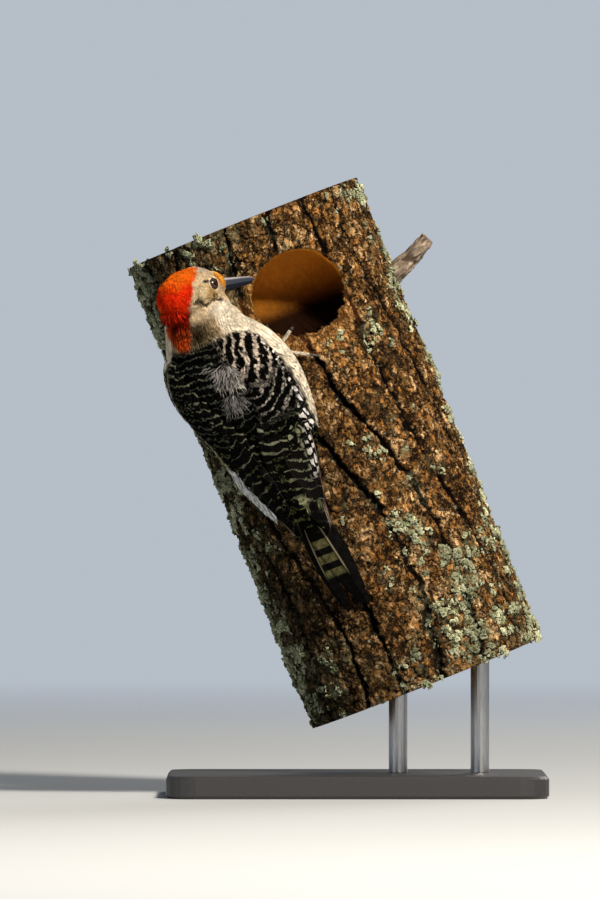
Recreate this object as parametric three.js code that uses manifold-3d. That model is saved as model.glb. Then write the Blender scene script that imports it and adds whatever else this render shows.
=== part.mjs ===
// A female red-bellied woodpecker, life-size, clinging to a short length of leaning trunk beside an old
// entrance hole, on a plain display stand.
// Units are millimetres and +Z is up. The viewer stands on the -Y side. The origin is the centre of the
// base's underside.
//
// Three nested frames carry the model:
//   trunk  x across the trunk, y into it from the viewer, z along its axis towards the top
//   bird   x to the bird's right, y along the spine towards the head, z out of its back
//   head   x to the head's right, y along the bill, z up through the crown
import * as THREE from 'three';
import { mergeVertices } from 'three/addons/utils/BufferGeometryUtils.js';
import Module from 'manifold-3d';

const wasm = await Module();
wasm.setup();

const { degToRad, lerp, clamp } = THREE.MathUtils;
const V = (x, y, z) => new THREE.Vector3(x, y, z);

// ---------------------------------------------------------------- driving dimensions

const GAP = 0.3; // clearance between pieces that touch

const TRUNK = {
  centre: V(-12, 0, 184),
  lean: degToRad(21.8), // the top leans towards -X
  radius: 66,
  length: 266,
};
// Main furrows of the bark, evenly spaced from the first one's bearing. All of them twist a little round
// the trunk, and each wanders on its own.
const FURROW = {
  count: 16,
  first: degToRad(21.4),
  half: 2.7, // half its width at the top
  depth: 4.4,
  twist: 0.24,
  wander: 0.16, // share of the spacing
};
const HOLE = { along: 86.4, bearing: degToRad(13.1), across: 26.2, up: 23.4, depth: 46, mouth: 16 };
const STUB = { along: 74, bearing: degToRad(84), length: 24, rise: 15, radius: 5, buried: 8 };

const BASE = { width: 204, depth: 150, height: 12, corner: 16, bevel: 1.6 };
const ROD = { radius: 5, places: [22, 66], uncut: 120 }; // uncut: length before its top is cut to the trunk

const BIRD = {
  bearing: degToRad(-18), // round the trunk from the viewer's side, towards the right
  along: 26, // height of the middle of the body on the trunk
  reach: 110, // from the trunk's axis to the spine there
  lean: degToRad(20), // the head end stands further off the trunk than the tail
};
const HEAD = {
  place: V(1.4, 82.7, -13),
  turn: degToRad(36), // to the bird's right
  nod: degToRad(26), // bill below square to the spine
  roll: degToRad(1),
};
const EYE = { side: 10.6, ahead: 4, up: 1.6, radius: 3.4 };
const BILL = {
  root: 15, // ahead of the middle of the head
  gape: 0.3, // height of the line between the mandibles
  droop: 0.8, // how far that line falls towards the tip
  upper: { length: 27, width: 3.9, height: 3.5 },
  lower: { length: 25.4, width: 3.5, height: 2.8 },
  edge: 0.5, // half the width left at the chisel tip
};
const TARSUS = 1.5; // radius of the bare leg
const TAIL_FEATHER = 0.9; // thickness
const WING_CLEARANCE = 0.15; // extra space between the body and the folded wing

const COLOURS = {
  nape: 0xe03a0c,
  buff: 0xc8b89a,
  barred: 0x1c1c1a,
  bill: 0x4a4e56,
  eye: 0x3a1410,
  leg: 0x8d8672,
  claw: 0x2b2a28,
  bark: 0x6a4a32,
  stub: 0x8a7a66,
  base: 0x2a2a2c,
  rod: 0x9a9da2,
};

// ---------------------------------------------------------------- shape helpers

// A smooth reading of a list of stations at any value of their first key.
function along(stations, key, at) {
  const last = stations.length - 1;
  let i = stations.findIndex((s) => s[key] >= at);
  if (i < 0) i = last;
  i = clamp(i, 1, last);
  const [a, b] = [stations[i - 1], stations[i]];
  const before = stations[Math.max(i - 2, 0)];
  const after = stations[Math.min(i + 1, last)];
  const span = b[key] - a[key];
  const t = clamp((at - a[key]) / span, 0, 1);
  const read = { [key]: at };
  for (const field of Object.keys(a)) {
    if (field === key || field === 'name') continue;
    const leaving = ((b[field] - before[field]) / (b[key] - before[key])) * span;
    const arriving = ((after[field] - a[field]) / (after[key] - a[key])) * span;
    read[field] =
      a[field] * (2 * t ** 3 - 3 * t ** 2 + 1) +
      leaving * (t ** 3 - 2 * t ** 2 + t) +
      b[field] * (3 * t ** 2 - 2 * t ** 3) +
      arriving * (t ** 3 - t ** 2);
  }
  return read;
}

// A closed mesh with its faces turned outwards.
function closedGeometry(points, faces) {
  const signed = faces.reduce((sum, [a, b, c]) => {
    const cross = points[b].clone().cross(points[c]);
    return sum + points[a].dot(cross);
  }, 0);
  const turned = signed < 0 ? faces.map(([a, b, c]) => [a, c, b]) : faces;
  const geometry = new THREE.BufferGeometry();
  geometry.setAttribute(
    'position',
    new THREE.Float32BufferAttribute(points.flatMap((p) => p.toArray()), 3),
  );
  geometry.setIndex(turned.flat());
  return geometry;
}

// Rings of equal count joined in order, with a point closing each end.
function loft(rings, firstTip, lastTip) {
  const sides = rings[0].length;
  const points = rings.flat();
  const faces = [];
  for (let r = 0; r < rings.length - 1; r++) {
    for (let s = 0; s < sides; s++) {
      const a = r * sides + s;
      const b = r * sides + ((s + 1) % sides);
      faces.push([a, b, b + sides], [a, b + sides, a + sides]);
    }
  }
  const middle = (ring) => ring.reduce((sum, p) => sum.add(p), V(0, 0, 0)).divideScalar(sides);
  const start = points.push(firstTip ?? middle(rings[0])) - 1;
  const end = points.push(lastTip ?? middle(rings.at(-1))) - 1;
  const top = (rings.length - 1) * sides;
  for (let s = 0; s < sides; s++) {
    const next = (s + 1) % sides;
    faces.push([start, next, s], [end, top + s, top + next]);
  }
  return closedGeometry(points, faces);
}

// A rounded section across y: half width w, different heights above and below its middle at (x, z).
function section({ x = 0, y, z, w, top, bottom }, sides) {
  const ring = [];
  for (let s = 0; s < sides; s++) {
    const angle = (s / sides) * 2 * Math.PI;
    const up = Math.cos(angle);
    ring.push(V(x + w * Math.sin(angle), y, z + up * (up > 0 ? top : bottom)));
  }
  return ring;
}

// A body lofted through its stations, with a rounded tip beyond each end.
function loftStations(stations, rings, sides, firstTip, lastTip) {
  const [low, high] = [stations[0].y, stations.at(-1).y];
  const made = Array.from({ length: rings }, (_, i) =>
    section(along(stations, 'y', lerp(low, high, i / (rings - 1))), sides),
  );
  return loft(made, firstTip, lastTip);
}

// A round tube along a curve whose radius is a function of the share of its length.
function taperedTube(curve, radiusAt, steps, sides) {
  const frames = curve.computeFrenetFrames(steps, false);
  const rings = Array.from({ length: steps + 1 }, (_, i) => {
    const share = i / steps;
    const place = curve.getPointAt(share);
    return Array.from({ length: sides }, (_, s) => {
      const angle = (s / sides) * 2 * Math.PI;
      return place
        .clone()
        .addScaledVector(frames.normals[i], radiusAt(share) * Math.cos(angle))
        .addScaledVector(frames.binormals[i], radiusAt(share) * Math.sin(angle));
    });
  });
  return loft(rings);
}

function toSolid(geometry) {
  const bare = geometry.index ? geometry.toNonIndexed() : geometry.clone();
  bare.deleteAttribute('normal');
  bare.deleteAttribute('uv');
  const merged = mergeVertices(bare, 1e-3);
  const mesh = new wasm.Mesh({
    numProp: 3,
    vertProperties: merged.attributes.position.array,
    triVerts: new Uint32Array(merged.index.array),
  });
  return new wasm.Manifold(mesh);
}

function toGeometry(solid) {
  const { numProp, numVert, vertProperties, triVerts } = solid.getMesh();
  const places = new Float32Array(numVert * 3);
  for (let i = 0; i < numVert; i++) {
    places.set(vertProperties.subarray(i * numProp, i * numProp + 3), i * 3);
  }
  const geometry = new THREE.BufferGeometry();
  geometry.setAttribute('position', new THREE.BufferAttribute(places, 3));
  geometry.setIndex(new THREE.BufferAttribute(triVerts, 1));
  return geometry;
}

// The largest body of a solid, without the crumbs that a cut may leave.
function largest(solid) {
  return solid.decompose().sort((a, b) => b.volume() - a.volume())[0];
}

// A slab that fills the space on the far side of a plane.
function beyond(point, normal) {
  const size = 400;
  const slab = new THREE.BoxGeometry(size, size, size);
  const turn = new THREE.Quaternion().setFromUnitVectors(V(0, 0, 1), normal.clone().normalize());
  const middle = point.clone().addScaledVector(normal.clone().normalize(), size / 2);
  slab.applyMatrix4(new THREE.Matrix4().compose(middle, turn, V(1, 1, 1)));
  return toSolid(slab);
}

function named(name, geometry, colour, roughness = 0.8, metalness = 0) {
  const material = new THREE.MeshStandardMaterial({ color: colour, roughness, metalness });
  const mesh = new THREE.Mesh(geometry, material);
  mesh.name = name;
  return mesh;
}

// ---------------------------------------------------------------- frames

const model = new THREE.Group();

const trunk = new THREE.Group();
trunk.position.copy(TRUNK.centre);
trunk.rotation.y = -TRUNK.lean;
model.add(trunk);

// A place on the trunk: height along it, bearing round it, distance from its axis.
const onTrunk = (height, bearing, reach) =>
  V(reach * Math.sin(bearing), -reach * Math.cos(bearing), height);

const bird = new THREE.Group();
bird.position.copy(onTrunk(BIRD.along, BIRD.bearing, BIRD.reach));
bird.rotation.set(Math.PI / 2 + BIRD.lean, 0, BIRD.bearing, 'ZYX');
trunk.add(bird);

// The head faces square to the spine, away from the back, before it turns, nods and rolls.
const headMatrix = new THREE.Matrix4()
  .makeRotationFromEuler(new THREE.Euler(-Math.PI / 2 - HEAD.nod, -HEAD.turn, 0, 'YXZ'))
  .multiply(new THREE.Matrix4().makeRotationY(HEAD.roll))
  .setPosition(HEAD.place);

bird.updateMatrix();
const trunkToBird = bird.matrix.clone().invert();
const trunkPointInBird = (height, bearing, reach) =>
  onTrunk(height, bearing, reach).applyMatrix4(trunkToBird);

// ---------------------------------------------------------------- trunk and stand

// Where a main furrow is at a height, and how deep it is there.
function furrowAt(number, height) {
  const { count, first, depth, twist, wander } = FURROW;
  const step = (2 * Math.PI) / count;
  const own = wander * Math.sin(height / 31 + 2.1 * number + 3.1);
  return {
    bearing: first + (number + own) * step - twist * Math.sin(height / TRUNK.radius),
    depth: depth * (0.35 + 0.65 * Math.sin(height / 47 + 1.7 * number + 1.2) ** 2),
  };
}

// A log whose section has a shoulder, a bottom and a shoulder for each furrow.
function barkGeometry() {
  const rings = 18;
  const half = TRUNK.length / 2;
  const shoulder = FURROW.half / TRUNK.radius;
  const ringAt = (height) =>
    Array.from({ length: FURROW.count }, (_, number) => {
      const { bearing, depth } = furrowAt(number, height);
      return [
        onTrunk(height, bearing - shoulder, TRUNK.radius),
        onTrunk(height, bearing, TRUNK.radius - depth),
        onTrunk(height, bearing + shoulder, TRUNK.radius),
      ];
    }).flat();
  return loft(Array.from({ length: rings }, (_, i) => ringAt(lerp(-half, half, i / (rings - 1)))));
}

// The entrance: a round bore with a rounded end, widening a little behind its lip.
function holeCutter() {
  const { across, up, depth, mouth } = HOLE;
  const throat = 4; // depth of the narrowest ring
  const profile = [
    new THREE.Vector2(0, -depth),
    new THREE.Vector2(0.55, -depth * 0.96),
    new THREE.Vector2(0.92, -depth * 0.76),
    new THREE.Vector2(1.04, -depth * 0.45),
    new THREE.Vector2(0.98, -throat),
    new THREE.Vector2(1.04, mouth),
    new THREE.Vector2(0, mouth),
  ];
  const bore = new THREE.LatheGeometry(profile, 24);
  bore.scale(across, 1, up);
  bore.rotateX(Math.PI);
  bore.rotateZ(HOLE.bearing);
  bore.translate(...onTrunk(HOLE.along, HOLE.bearing, TRUNK.radius).toArray());
  return toSolid(bore);
}

// The broken side branch: a tapered peg with its root inside the trunk. A clearance makes its socket.
function stubGeometry(clearance) {
  const { along: height, bearing, length, rise, radius, buried } = STUB;
  const root = onTrunk(height, bearing, TRUNK.radius - buried - clearance);
  const tip = onTrunk(height + rise, bearing, TRUNK.radius + length);
  const sagging = root.clone().lerp(tip, 0.5).add(V(0, 0, -1));
  const curve = new THREE.CatmullRomCurve3([root, sagging, tip]);
  return taperedTube(curve, (share) => radius * (1.5 - 0.6 * Math.sqrt(share)) + clearance, 6, 10);
}

function buildTrunk() {
  const log = toSolid(barkGeometry()).subtract(holeCutter());
  const pierced = log.subtract(toSolid(stubGeometry(GAP)));
  trunk.add(named('perch_trunk', toGeometry(largest(pierced)), COLOURS.bark, 0.95));
  trunk.add(named('perch_branch_stub', stubGeometry(0), COLOURS.stub, 0.9));
}

function buildStand() {
  const { width, depth, height, corner, bevel } = BASE;
  const [w, d, c] = [width / 2 - bevel, depth / 2 - bevel, corner - bevel];
  const outline = new THREE.Shape();
  outline.absarc(w - c, -d + c, c, -Math.PI / 2, 0);
  outline.absarc(w - c, d - c, c, 0, Math.PI / 2);
  outline.absarc(-w + c, d - c, c, Math.PI / 2, Math.PI);
  outline.absarc(-w + c, -d + c, c, Math.PI, Math.PI * 1.5);
  const slab = new THREE.ExtrudeGeometry(outline, {
    depth: height - 2 * bevel,
    bevelThickness: bevel,
    bevelSize: bevel,
    bevelSegments: 1,
    curveSegments: 3,
  });
  slab.translate(0, 0, bevel);
  model.add(named('stand_base', slab, COLOURS.base, 0.45));

  const underside = TRUNK.centre.clone().add(
    V(0, 0, -TRUNK.length / 2 - GAP).applyAxisAngle(V(0, 1, 0), -TRUNK.lean),
  );
  const up = V(0, 0, 1).applyAxisAngle(V(0, 1, 0), -TRUNK.lean);
  const above = beyond(underside, up);
  ROD.places.forEach((x, i) => {
    const rod = new THREE.CylinderGeometry(ROD.radius, ROD.radius, ROD.uncut, 20);
    rod.rotateX(Math.PI / 2);
    rod.translate(x, 0, height + GAP + ROD.uncut / 2);
    const cut = largest(toSolid(rod).subtract(above));
    model.add(named(`stand_rod_${i + 1}`, toGeometry(cut), COLOURS.rod, 0.3, 0.9));
  });
}

// ---------------------------------------------------------------- bird: body, neck and head

const BODY = [
  { name: 'tail root', y: -60, x: 0.9, z: -0.4, w: 9.4, top: 5.2, bottom: 6 },
  { name: 'tail coverts', y: -52, x: 0.7, z: -1, w: 12, top: 7.8, bottom: 9 },
  { name: 'rump', y: -40, x: 0.2, z: -2, w: 16.6, top: 12, bottom: 14.5 },
  { name: 'loin', y: -22, x: 0.6, z: -4, w: 22.6, top: 18.8, bottom: 21.5 },
  { name: 'belly', y: -2, x: 1.8, z: -5, w: 27.2, top: 24.6, bottom: 26 },
  { name: 'breast', y: 18, x: 1.4, z: -6, w: 30.4, top: 28.2, bottom: 28 },
  { name: 'shoulders', y: 33, x: -0.8, z: -7, w: 31, top: 28, bottom: 27.5 },
  { name: 'neck base', y: 49, x: -3.2, z: -8.5, w: 26.6, top: 24, bottom: 24.5 },
  { name: 'neck', y: 62, x: -3.4, z: -10.5, w: 20.4, top: 19, bottom: 18 },
  { name: 'throat', y: 73, x: -2, z: -12, w: 17.2, top: 15.6, bottom: 14 },
  { name: 'skull base', y: 83, x: 1, z: -12.5, w: 13.4, top: 12, bottom: 11 },
];

// Along the bill's line: y ahead of the middle of the head.
const SKULL = [
  { name: 'nape', y: -18.4, z: -4, w: 9.8, top: 10, bottom: 11 },
  { name: 'hind crown', y: -13, z: -1.5, w: 13.2, top: 12.4, bottom: 14.5 },
  { name: 'crown', y: -4, z: 0, w: 14.6, top: 12.8, bottom: 14 },
  { name: 'ear', y: 3, z: 0, w: 14, top: 12.6, bottom: 12.4 },
  { name: 'eye', y: 8.5, z: 0, w: 11.8, top: 10.6, bottom: 10.6 },
  { name: 'lore', y: 13.5, z: 0, w: 8.6, top: 7.8, bottom: 8 },
  { name: 'bill base', y: 18, z: 0.2, w: 5, top: 4.6, bottom: 4.8 },
];

// The body and the head make one shape, which thin cuts part into the body, the neck and the head.
function buildBody() {
  const torso = toSolid(loftStations(BODY, 18, 24, undefined, V(2, 88, -12.5)));
  const skull = toSolid(
    loftStations(SKULL, 12, 20, V(0, -21, -4.5), V(0, 19.4, 0.2)).applyMatrix4(headMatrix),
  );
  const whole = torso.add(skull);
  const above = ({ point, normal }) => beyond(point.clone().addScaledVector(normal, -GAP / 2), normal);
  const below = ({ point, normal }) =>
    beyond(point.clone().addScaledVector(normal, GAP / 2), normal.clone().negate());
  const jaw = {
    point: V(0, -2, -9).applyMatrix4(headMatrix),
    normal: V(0, -0.2, 1).normalize().transformDirection(headMatrix),
  };
  const collar = { point: V(0, 50, 0), normal: V(0, 1, -0.12).normalize() };
  return {
    head: whole.subtract(below(jaw)),
    neck: whole.subtract(above(jaw)).subtract(below(collar)),
    body: whole.subtract(above(jaw)).subtract(above(collar)),
  };
}

// ---------------------------------------------------------------- bird: wings

// The surface that the folded wings lie on: the body, and past the rump a narrowing space over the tail.
const WING_BED = [
  { name: 'wing tips', y: -68, x: 1.6, z: 0.2, w: 10, top: 5 },
  { name: 'tail coverts', y: -54, x: 0.8, z: -1, w: 12.2, top: 8 },
  ...BODY.slice(2),
];

// Each station lies across the folded wing. Angles run from the middle of the back, in degrees: the upper
// edge, and the lower edge of the right and of the left wing. Thick is the depth of the feathers there.
const WING = [
  { name: 'wing tip', y: -66.5, upper: 50, right: 72, left: 50, thick: 0.9 },
  { name: 'primary tips', y: -60, upper: 24, right: 86, left: 54, thick: 1.3 },
  { name: 'primaries', y: -49, upper: 8, right: 95, left: 44, thick: 1.7 },
  { name: 'tertial tips', y: -33, upper: 5, right: 92, left: 39, thick: 2 },
  { name: 'secondaries', y: -16, upper: 8, right: 82, left: 46, thick: 2.2 },
  { name: 'covert edge', y: -12, upper: 9, right: 79, left: 50, thick: 2.3 },
  { name: 'covert tips', y: -10.5, upper: 9, right: 78, left: 52, thick: 3 },
  { name: 'coverts', y: 5, upper: 13, right: 70, left: 72, thick: 3 },
  { name: 'elbow', y: 20, upper: 21, right: 67, left: 76, thick: 3 },
  { name: 'wrist', y: 35, upper: 30, right: 71, left: 80, thick: 3.1 },
  { name: 'bend', y: 45, upper: 38, right: 74, left: 82, thick: 2.6 },
  { name: 'bend edge', y: 55, upper: 52, right: 76, left: 78, thick: 1.5 },
];

function wingGeometry(side) {
  const across = 7;
  const lower = side > 0 ? 'right' : 'left';
  const stops = WING.flatMap(({ y }, i) => (i && y - WING[i - 1].y > 9 ? [(y + WING[i - 1].y) / 2, y] : [y]));
  const rings = stops.map((y) => {
    const bed = along(WING_BED, 'y', y);
    const wing = along(WING, 'y', y);
    const arc = (lift) =>
      Array.from({ length: across }, (_, k) => {
        const angle = degToRad(lerp(wing.upper, wing[lower], k / (across - 1)));
        const out = side * (bed.w + lift) * Math.sin(angle);
        return V(bed.x + out, y, bed.z + (bed.top + lift) * Math.cos(angle));
      });
    return [...arc(GAP + wing.thick), ...arc(GAP + WING_CLEARANCE).reverse()];
  });
  return loft(rings);
}

// ---------------------------------------------------------------- bird: tail

// Half of the tail, from the middle pair outwards. The shaft runs to its tip at (x, y, z). The inner vane
// lies flat, and the outer vane drops away towards the bark.
const TAIL = { root: -60.4, shift: 1.6, bundle: { width: 11, length: 6, height: 3.4, drop: 0.9 } };
const TAIL_FEATHERS = [
  { x: 6.3, y: -115.5, z: -3.8, inner: 5.2, outer: 3, drop: 1.8 },
  { x: 7.4, y: -108, z: -3.6, inner: 4.6, outer: 2.8, drop: 2.2 },
  { x: 8, y: -100, z: -3.5, inner: 4.4, outer: 2.6, drop: 2.4 },
  { x: 8.2, y: -91, z: -3.3, inner: 4.2, outer: 2.4, drop: 2.4 },
  { x: 7.8, y: -81, z: -3, inner: 4, outer: 2.2, drop: 2.2 },
];

function tailFeather({ x, y, z, inner, outer, drop }, side, rank) {
  const root = V(4.2, TAIL.root, 1.4 - rank * 0.8);
  const middle = V(x, lerp(TAIL.root, y, 0.5), 0.9 - rank * 0.9);
  const shaft = new THREE.CatmullRomCurve3([root, middle, V(x, y, z)]);
  const steps = 6;
  const rings = Array.from({ length: steps }, (_, i) => {
    const share = i / (steps - 1);
    const at = shaft.getPoint(share);
    const taper = Math.sqrt(1 - 0.985 * share ** 3.2);
    const [left, right] = [at.x - inner * taper, at.x + outer * taper];
    const low = TAIL_FEATHER * 0.75;
    return [
      V(left, at.y, at.z - 0.3),
      V(at.x, at.y, at.z + 0.1),
      V(right, at.y, at.z - drop * taper),
      V(right, at.y, at.z - drop * taper - low),
      V(at.x, at.y, at.z - TAIL_FEATHER),
      V(left, at.y, at.z - 0.3 - low),
    ];
  });
  const geometry = loft(rings);
  geometry.scale(side, 1, 1);
  if (side < 0) geometry.setIndex([...geometry.index.array].reverse());
  return toSolid(geometry);
}

// The quills' ends, bound together under the coverts.
function tailRoot() {
  const { width, length, height, drop } = TAIL.bundle;
  const bundle = new THREE.BoxGeometry(width, length, height);
  bundle.translate(0, TAIL.root - length / 2, -drop);
  return toSolid(bundle);
}

function tailGeometry() {
  const feathers = [1, -1].flatMap((side) => TAIL_FEATHERS.map((f, rank) => tailFeather(f, side, rank)));
  const joined = toGeometry(feathers.reduce((a, b) => a.add(b), tailRoot()));
  joined.translate(TAIL.shift, 0, 0);
  return joined;
}

// ---------------------------------------------------------------- bird: bill and eyes

// Half of the bill, above (way 1) or below (way -1) the line between the mandibles.
function mandible({ length, width, height }, way) {
  const steps = 8;
  const sides = 10;
  const rings = Array.from({ length: steps }, (_, i) => {
    const share = i / (steps - 1);
    const wide = width * (1 - share) ** 0.85 + BILL.edge;
    const high = height * (1 - share) ** 0.9 + BILL.edge * 0.8;
    const seam = BILL.gape + (way * GAP) / 2 - BILL.droop * share ** 2;
    return Array.from({ length: sides }, (_, s) => {
      const angle = (s / (sides - 1)) * Math.PI;
      const rise = Math.sin(angle) ** 0.8 * high;
      return V(Math.cos(angle) * wide, BILL.root + share * length, seam + way * rise);
    });
  });
  return loft(rings);
}

function eyeball(side, grow = 0) {
  const ball = new THREE.SphereGeometry(EYE.radius + grow, 10, 8);
  ball.translate(side * EYE.side, EYE.ahead, EYE.up);
  return ball;
}

// ---------------------------------------------------------------- bird: legs

// Where each foot's ball rests on the bark, and where its heel is. The right middle toe grips the lip of
// the hole.
const FEET = {
  right: { side: 1, height: 62, bearing: degToRad(-7.4), heel: V(16, 2, -41), lip: 'middle_toe' },
  left: { side: -1, height: 54, bearing: degToRad(-30), heel: V(-16.5, -4.5, -38.8) },
};

// Digits, two forwards and two back: how far each reaches up the trunk and outwards, where its claw ends,
// and its girth.
const DIGITS = [
  { name: 'hallux', up: -5.5, out: -3.5, clawUp: -9, clawOut: -5.5, radius: 1 },
  { name: 'inner_toe', up: 10.2, out: -0.4, clawUp: 15, clawOut: 0.4, radius: 1.15 },
  { name: 'middle_toe', up: 7.2, out: 10.4, clawUp: 8.6, clawOut: 12.8, radius: 1.25 },
  { name: 'outer_toe', up: -8.4, out: 15, clawUp: -11.6, clawOut: 20.4, radius: 1.2 },
];
const ANKLE_PAD = 2.0; // radius of the foot's ball
const TOE_LIFT = 0.1; // how far a toe stands off the bark
const LIP = { height: 1.6, reach: 3.2 }; // how far the gripping toe stands over the lip, and its claw below

const toeLift = (foot, name) => (foot.lip === name ? LIP.height : TOE_LIFT);

function footPlace(foot, up, out, lift) {
  const reach = TRUNK.radius + GAP + lift;
  return trunkPointInBird(foot.height + up, foot.bearing + (foot.side * out) / TRUNK.radius, reach);
}

function footSolid(foot) {
  const ball = footPlace(foot, 0, 0, ANKLE_PAD);
  const shank = new THREE.CatmullRomCurve3([
    foot.heel,
    foot.heel.clone().lerp(ball, 0.5).add(V(foot.side * 0.8, 0, 0)),
    ball,
  ]);
  const pieces = [taperedTube(shank, (share) => TARSUS + 0.5 * Math.abs(2 * share - 1) ** 3, 4, 8)];
  const pad = new THREE.SphereGeometry(ANKLE_PAD, 8, 5);
  pad.translate(ball.x, ball.y, ball.z);
  pieces.push(pad);
  for (const { name, up, out, radius } of DIGITS) {
    const over = toeLift(foot, name);
    const path = new THREE.CatmullRomCurve3([
      ball,
      footPlace(foot, up * 0.35, out * 0.35, radius + 1.3),
      footPlace(foot, up * 0.7, out * 0.7, radius + 0.2 + over * 0.6),
      footPlace(foot, up, out, radius + over),
    ]);
    pieces.push(taperedTube(path, (share) => radius * (1.08 - 0.2 * share), 4, 6));
  }
  return largest(pieces.map(toSolid).reduce((a, b) => a.add(b)));
}

// A claw: a hooked cone that leaves the toe's end, rises a little and comes down on the bark, or down
// inside the hole for the toe that grips its lip.
function clawGeometry(foot, { name, up, out, clawUp, clawOut, radius }) {
  const gripping = foot.lip === name;
  const over = toeLift(foot, name);
  const start = footPlace(foot, up, out, radius + over);
  const before = footPlace(foot, up * 0.7, out * 0.7, radius + 0.2 + over * 0.6);
  const onward = start.clone().sub(before).normalize();
  const claw = (share, lift) =>
    footPlace(foot, lerp(up, clawUp, share), lerp(out, clawOut, share), lift + (gripping ? 1 - share : 0));
  const path = new THREE.CatmullRomCurve3([
    start.clone().addScaledVector(onward, GAP + 0.3),
    claw(0.45, radius + 0.8),
    claw(0.85, gripping ? -LIP.reach * 0.4 : radius * 0.7),
    claw(1, gripping ? -LIP.reach : 0.35),
  ]);
  return taperedTube(path, (share) => lerp(radius * 0.82, 0.28, share ** 0.8), 4, 6);
}

// The feathered thigh, from the flank to the heel.
function thighSolid({ side, heel }) {
  const hip = V(side * 12, heel.y + 8, -22);
  const knee = hip.clone().lerp(heel, 0.5).add(V(side * 2.4, 1, 0));
  const path = new THREE.CatmullRomCurve3([hip, knee, heel.clone().lerp(knee, 0.24)]);
  return toSolid(taperedTube(path, (share) => lerp(9, 2.8, share ** 0.8), 5, 12));
}

// ---------------------------------------------------------------- assembly

function buildBird() {
  const { head, neck, body } = buildBody();
  const inHead = (geometry) => toSolid(geometry.applyMatrix4(headMatrix));
  const sides = { right: 1, left: -1 };

  // The head has a socket for each eye and one for the bill.
  const sheath = new THREE.SphereGeometry(1, 10, 7);
  sheath.scale(5.2 + GAP, 5.8, 5 + GAP);
  sheath.translate(0, BILL.root + 2.6, BILL.gape);
  const sockets = [eyeball(1, GAP), eyeball(-1, GAP), sheath].map(inHead);
  const skull = sockets.reduce((solid, socket) => solid.subtract(socket), head);

  const thighs = Object.values(FEET).map(thighSolid);
  const legs = Object.values(FEET).map(footSolid);

  bird.add(named('head', toGeometry(largest(skull)), COLOURS.nape));
  bird.add(named('neck', toGeometry(largest(neck)), COLOURS.buff));
  bird.add(named('body', toGeometry(largest(thighs.reduce((a, b) => a.add(b), body))), COLOURS.buff));
  bird.add(named('tail', tailGeometry(), COLOURS.barred, 0.7));
  bird.add(named('bill_upper', mandible(BILL.upper, 1).applyMatrix4(headMatrix), COLOURS.bill, 0.4));
  bird.add(named('bill_lower', mandible(BILL.lower, -1).applyMatrix4(headMatrix), COLOURS.bill, 0.4));
  for (const [name, side] of Object.entries(sides)) {
    bird.add(named(`eye_${name}`, eyeball(side).applyMatrix4(headMatrix), COLOURS.eye, 0.1));
    bird.add(named(`wing_${name}`, wingGeometry(side), COLOURS.barred, 0.7));
    const foot = FEET[name];
    bird.add(named(`foot_${name}`, toGeometry(legs[side > 0 ? 0 : 1]), COLOURS.leg, 0.6));
    for (const digit of DIGITS) {
      bird.add(named(`claw_${name}_${digit.name}`, clawGeometry(foot, digit), COLOURS.claw, 0.35));
    }
  }
}

buildTrunk();
buildStand();
buildBird();

export default model;
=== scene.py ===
# A female red-bellied woodpecker clinging beside its nest hole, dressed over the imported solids: a feathered
# skin, wings and tail of separate vanes, furrowed bark with lichen, and a plain studio.
#
# Shapes are worked out in millimetres in three nested frames, as the solids are, and turned into the row's
# metres when a mesh is made:
#   trunk  x across the trunk, y into it from the viewer, z along its axis towards the top
#   bird   x to the bird's right, y along the spine towards the head, z out of its back
#   head   x to the head's right, y along the bill, z up through the crown
import itertools
import math

import bpy
import numpy as np
from mathutils import Matrix, Vector
from mathutils.bvhtree import BVHTree


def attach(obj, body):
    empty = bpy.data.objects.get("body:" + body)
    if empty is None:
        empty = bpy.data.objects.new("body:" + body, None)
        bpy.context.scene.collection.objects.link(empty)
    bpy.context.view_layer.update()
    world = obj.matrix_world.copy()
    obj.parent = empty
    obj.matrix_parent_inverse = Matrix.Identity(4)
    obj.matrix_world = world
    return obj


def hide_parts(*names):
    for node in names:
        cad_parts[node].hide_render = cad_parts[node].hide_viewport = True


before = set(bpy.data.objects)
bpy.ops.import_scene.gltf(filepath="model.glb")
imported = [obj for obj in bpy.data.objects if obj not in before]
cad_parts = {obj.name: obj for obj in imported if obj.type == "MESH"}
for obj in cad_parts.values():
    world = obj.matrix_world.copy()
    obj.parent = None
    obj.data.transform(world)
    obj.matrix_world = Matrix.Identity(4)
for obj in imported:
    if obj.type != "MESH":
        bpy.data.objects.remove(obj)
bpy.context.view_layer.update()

MM = 0.001

# ------------------------------------------------------------------ frames

TRUNK_CENTRE = (-12, 0, 184)
TRUNK_LEAN = math.radians(21.8)
TRUNK_RADIUS = 66
TRUNK_LENGTH = 266
HOLE = {"along": 86.4, "bearing": math.radians(13.1), "across": 26.2, "up": 23.4, "depth": 46}
BIRD = {"bearing": math.radians(-18), "along": 26, "reach": 110, "lean": math.radians(20)}
HEAD = {"place": (1.4, 82.7, -13), "turn": math.radians(36), "nod": math.radians(26), "roll": math.radians(1)}
EYE = {"place": (10.6, 4, 1.6), "axis": (1.0, 0.16, 0.05), "radius": 3.38}
BILL = {"root": 15, "gape": 0.3, "droop": 0.8, "edge": 0.5}
GAP = 0.3


def on_trunk(height, bearing, reach):
    """A place in the trunk's frame: height along it, bearing from the viewer, reach from its axis."""
    height, bearing, reach = np.broadcast_arrays(height, bearing, reach)
    return np.stack([reach * np.sin(bearing), -reach * np.cos(bearing), height], -1).astype(float)


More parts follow.
